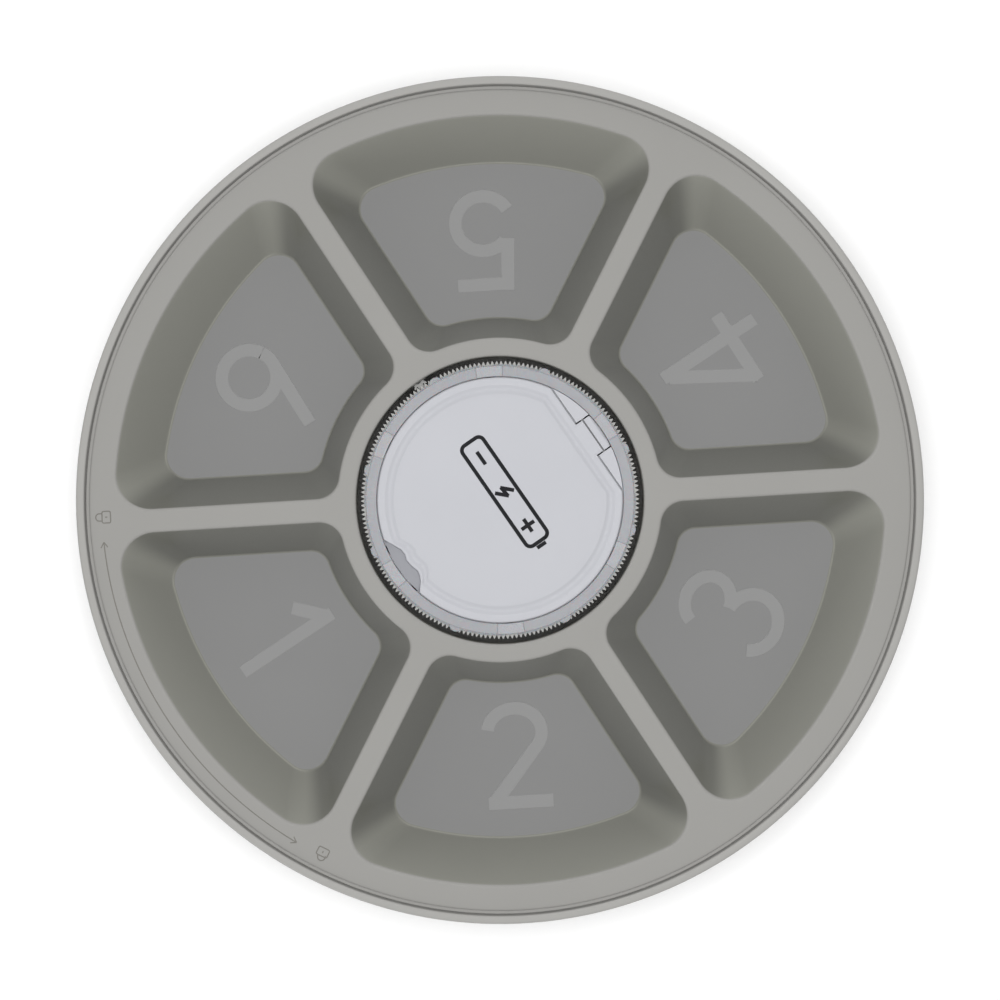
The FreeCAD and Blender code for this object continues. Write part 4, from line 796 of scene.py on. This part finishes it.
# The print on the lid: a dark battery sign with its plus and minus, as thin as ink.
PRINT_CENTRE = np.array([-1.6, 3.2])
SIGN_LENGTH, SIGN_WIDTH, SIGN_LINE = 46.0, 9.5, 1.5
ink = moulded("Black pad-print ink", "#17171A", "#1E1E22", 0.5, 0.3, 0.001)


def rounded_box_path(length, width, corner):
    """A path round a box with rounded corners, centred on the origin, its ends apart."""
    parts = []
    for k, (sx, sy) in enumerate(((1, 1), (-1, 1), (-1, -1), (1, -1))):
        sweep = np.linspace(k * math.pi / 2, (k + 1) * math.pi / 2, 10)
        parts.append(np.stack([sx * (length / 2 - corner) + corner * np.cos(sweep),
                               sy * (width / 2 - corner) + corner * np.sin(sweep)], -1))
    return np.vstack(parts)


sign_outline = rounded_box_path(SIGN_LENGTH, SIGN_WIDTH, 2.2)
sign_paths = [np.vstack([sign_outline, sign_outline[:2]]),
              line((24.6, -2.0), (24.6, 2.0)), line((12.6, 0.0), (18.4, 0.0)),
              line((15.5, -2.9), (15.5, 2.9)), line((-18.4, 0.0), (-12.6, 0.0)),
              line((1.6, 3.3), (-2.2, -0.5)), line((-2.2, -0.2), (2.2, 0.2)),
              line((2.2, 0.5), (-1.6, -3.3))]
sign_points, sign_faces = ridge([p + PRINT_CENTRE for p in sign_paths], SIGN_LINE, 0.03,
                                LID_TOP, 0.48)
sign = sheet_mesh("lid_battery_sign", sign_points * MM, sign_faces, ink, 60)
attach(sign, "lid")


# ------------------------------------------------------------------ control panel
# A smoked acrylic window with a grey display behind its clear middle, and four silicone
# buttons: clock, down, up and record. Digits and signs are printed or moulded.
def upright(points, face):
    """Stands flat points (across, up, out) on a wall that faces -Y, in metres."""
    points = np.asarray(points) * MM
    return np.stack([points[:, 0], face - points[:, 2], points[:, 1]], -1)


window_low, window_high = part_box("lcd_window")
WINDOW_WIDTH, WINDOW_HEIGHT = [size / MM for size in
                               (window_high.x - window_low.x, window_high.z - window_low.z)]
WINDOW_UP = (window_high.z + window_low.z) / 2 / MM
WINDOW_THICK = (window_high.y - window_low.y) / MM
acrylic = moulded("Smoked acrylic, polished", "#1F2224", "#24282A", 0.08, 1.5, 0.001,
                  Coat_Weight=0.5, Coat_Roughness=0.05)
display = moulded("Liquid crystal display, grey green", "#8C9686", "#939D8C", 0.18, 0.5, 0.001)
segment_ink = moulded("Liquid crystal segment, dark", "#20241F", "#262A25", 0.3, 0.5, 0.001)


def window_mesh():
    """A plate as rounded boxes one inside the other, out from the back and in to the middle.

    An inset past the window's middle closes a box to a point.
    """
    layers = []
    for inset, out, corner in ((30, 0, 0), (0, 0, 1.2), (0, 0.8, 1.2), (0.1, 0.95, 1.1),
                               (0.25, 1, 1.0), (1.6, 1, 0.6), (1.7, 0.96, 0.5), (1.8, 0.93, 0.5),
                               (30, 0.93, 0)):
        loop = rounded_box_path(max(WINDOW_WIDTH - 2 * inset, 0), max(WINDOW_HEIGHT - 2 * inset, 0),
                                corner)
        layers.append(np.column_stack([loop[:, 0], loop[:, 1] + WINDOW_UP,
                                       np.full(len(loop), out * WINDOW_THICK)]))
    points = upright(np.vstack(layers), window_high.y)
    return sheet_mesh("display_window", points, grid_faces(len(layers), len(layers[0])), acrylic, 30)


window = window_mesh()
window.data.materials.append(display)
CLEAR_HALF = 22.3
centres = vectors(window.data.polygons, "center")
clear = ((centres[:, 1] < window_low.y + 0.15 * MM) & (np.abs(centres[:, 0]) < CLEAR_HALF * MM)
         & (np.abs(centres[:, 2] / MM - WINDOW_UP) < WINDOW_HEIGHT / 2 - 1.7))
window.data.polygons.foreach_set("material_index", clear.astype("i4"))
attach(window, "base")
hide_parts("lcd_window")

# Seven-segment digits: each segment is a short bar at a corner-to-corner place of a 2:1 cell.
SEGMENTS = {"0": "abcdef", "3": "abgcd", "8": "abcdefg"}
SEGMENT_ENDS = {"a": ((0, 2), (1, 2)), "b": ((1, 2), (1, 1)), "c": ((1, 1), (1, 0)),
                "d": ((0, 0), (1, 0)), "e": ((0, 1), (0, 0)), "f": ((0, 2), (0, 1)),
                "g": ((0, 1), (1, 1))}
DIGIT_CELL = 3.0


def digit_paths(digit, across):
    """The bars of one digit, each shortened at both ends so that a gap stays between them."""
    paths = []
    for segment in SEGMENTS[digit]:
        start, end = (np.array(point, float) for point in SEGMENT_ENDS[segment])
        start, end = start + (end - start) * 0.16, end - (end - start) * 0.16
        paths.append(line(*[point * DIGIT_CELL + [across, WINDOW_UP - DIGIT_CELL]
                            for point in (start, end)]))
    return paths


display_paths = []
for digit, across in (("0", -10.4), ("8", -5.4), ("3", 2.4), ("0", 7.4)):
    display_paths += digit_paths(digit, across)
display_paths += [line((0.0, WINDOW_UP + h - 0.3), (0.0, WINDOW_UP + h + 0.3)) for h in (-1.2, 1.2)]
digit_points, digit_faces = ridge(display_paths, 0.62, 0.02, 0.0, 0.48)
digits = sheet_mesh("display_digits", upright(digit_points, window_low.y + 0.08 * MM), digit_faces,
                    segment_ink, 60)
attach(digits, "base")

silicone = moulded("Slate grey silicone, matt", "#5E6063", "#646669", 0.55, 0.4, 0.006)
white_ink = moulded("White pad-print ink", "#D8D8D8", "#DDDDDD", 0.5, 0.3, 0.001)
BUTTON_RADIUS = 3.4
SIGNS = {
    "clock": [bend((0, 0), (1.5, 1.5), 0, 351), line((0, -0.1), (0, 1.0)), line((0, 0), (0.8, 0))],
    "down": [line((-1.2, 0.5), (0, -0.8)), line((0, -0.8), (1.2, 0.5))],
    "up": [line((-1.2, -0.5), (0, 0.8)), line((0, 0.8), (1.2, -0.5))],
    "record": [bend((0, 0), (0.8, 0.8), 0, 351), bend((0, 0), (0.3, 0.3), 0, 351)],
}
button_angles = np.linspace(0, math.tau, 96, endpoint=False)
for name, paths in SIGNS.items():
    low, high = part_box("button_" + name)
    centre = np.array([(low.x + high.x) / 2, 0, (low.z + high.z) / 2])
    length = (high.y - low.y) / MM
    profile = supported(rounded([(0, 0), (BUTTON_RADIUS, 0), (BUTTON_RADIUS, length - 0.05, 0.6),
                                 (BUTTON_RADIUS - 0.9, length, 0.5), (1.6, length - 0.22, 0.6),
                                 (0, length - 0.25)]), 0.1)
    points = upright(turned(profile[:, 0], profile[:, 1], button_angles), high.y) + centre
    cap = sheet_mesh("button_cap_" + name, points, grid_faces(len(profile), 96), silicone, 40)
    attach(cap, name + "_button")
    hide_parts("button_" + name)
    sign_points, sign_faces = ridge(paths, 0.34, 0.03, length - 0.23, 0.46)
    label = sheet_mesh("button_sign_" + name, upright(sign_points, high.y) + centre, sign_faces,
                       white_ink, 60)
    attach(label, name + "_button")


# ------------------------------------------------------------------ other mouldings and metal
# Everything that keeps its CAD form gets the finish of its own stuff: acetal gears, zinc-
# plated steel, sintered bronze, nickel, fibreglass board, cell sleeves, rubber.
def metal(name, tint, roughness, grain_mm):
    """Bare metal: its tint at full reflection, with fine tool marks in roughness and height."""
    material = bpy.data.materials.new(name)
    material.use_nodes = True
    tree = material.node_tree
    surface = tree.nodes["Principled BSDF"]
    place = add_node(tree, "ShaderNodeTexCoord").outputs["Object"]
    tool_marks = add_node(tree, "ShaderNodeTexNoise", {"Vector": place, "Detail": 4.0,
                                                       "Scale": 1 / (grain_mm * MM)})
    gloss = add_node(tree, "ShaderNodeMapRange", {"Value": tool_marks.outputs["Fac"],
                                                  "To Min": roughness * 0.7,
                                                  "To Max": roughness * 1.3})
    bump = add_node(tree, "ShaderNodeBump", {"Height": tool_marks.outputs["Fac"], "Strength": 0.3,
                                             "Distance": 0.01 * MM})
    tree.links.new(gloss.outputs["Result"], surface.inputs["Roughness"])
    tree.links.new(bump.outputs["Normal"], surface.inputs["Normal"])
    surface.inputs["Base Color"].default_value = linear(tint)
    surface.inputs["Metallic"].default_value = 1.0
    return material


FINISHES = {
    "casing_plastic": casing_abs,
    "tray_plastic": tray_plastic,
    "white_plastic": lid_plastic,
    "frosted_plastic": milky,
    "gear_plastic": moulded("Natural acetal, moulded gear", "#A6A6A4", "#AEAEAC", 0.3, 0.5, 0.004),
    "dark_plastic": moulded("Black ABS, fine moulded texture", "#1B1B1C", "#222223", 0.45, 0.5, 0.008),
    "window_plastic": acrylic,
    "button_plastic": silicone,
    "foot_rubber": moulded("Black nitrile rubber, matt moulded", "#1C1C1C", "#252525", 0.8, 0.6, 0.02),
    "steel": metal("Zinc-plated steel, turned", "#C9CACD", 0.28, 0.3),
    "bronze": metal("Sintered bronze", "#B98A55", 0.42, 0.15),
    "magnet": metal("Nickel plate on a pressed magnet", "#B9B6AE", 0.2, 0.4),
    "board_laminate": moulded("Green solder mask on fibreglass", "#1F5A35", "#256640", 0.35, 0.8, 0.01),
    "cell_sleeve": moulded("Shrunk battery sleeve, graphite", "#2A2B2D", "#323336", 0.25, 1.0, 0.004),
}
node_slots = {part["node"]: part["material_slot"] for part in frame["record"]["subparts"]}
for node_name, node_object in frame["nodes"].items():
    node_object.data.materials.clear()
    node_object.data.materials.append(FINISHES[node_slots[node_name]])
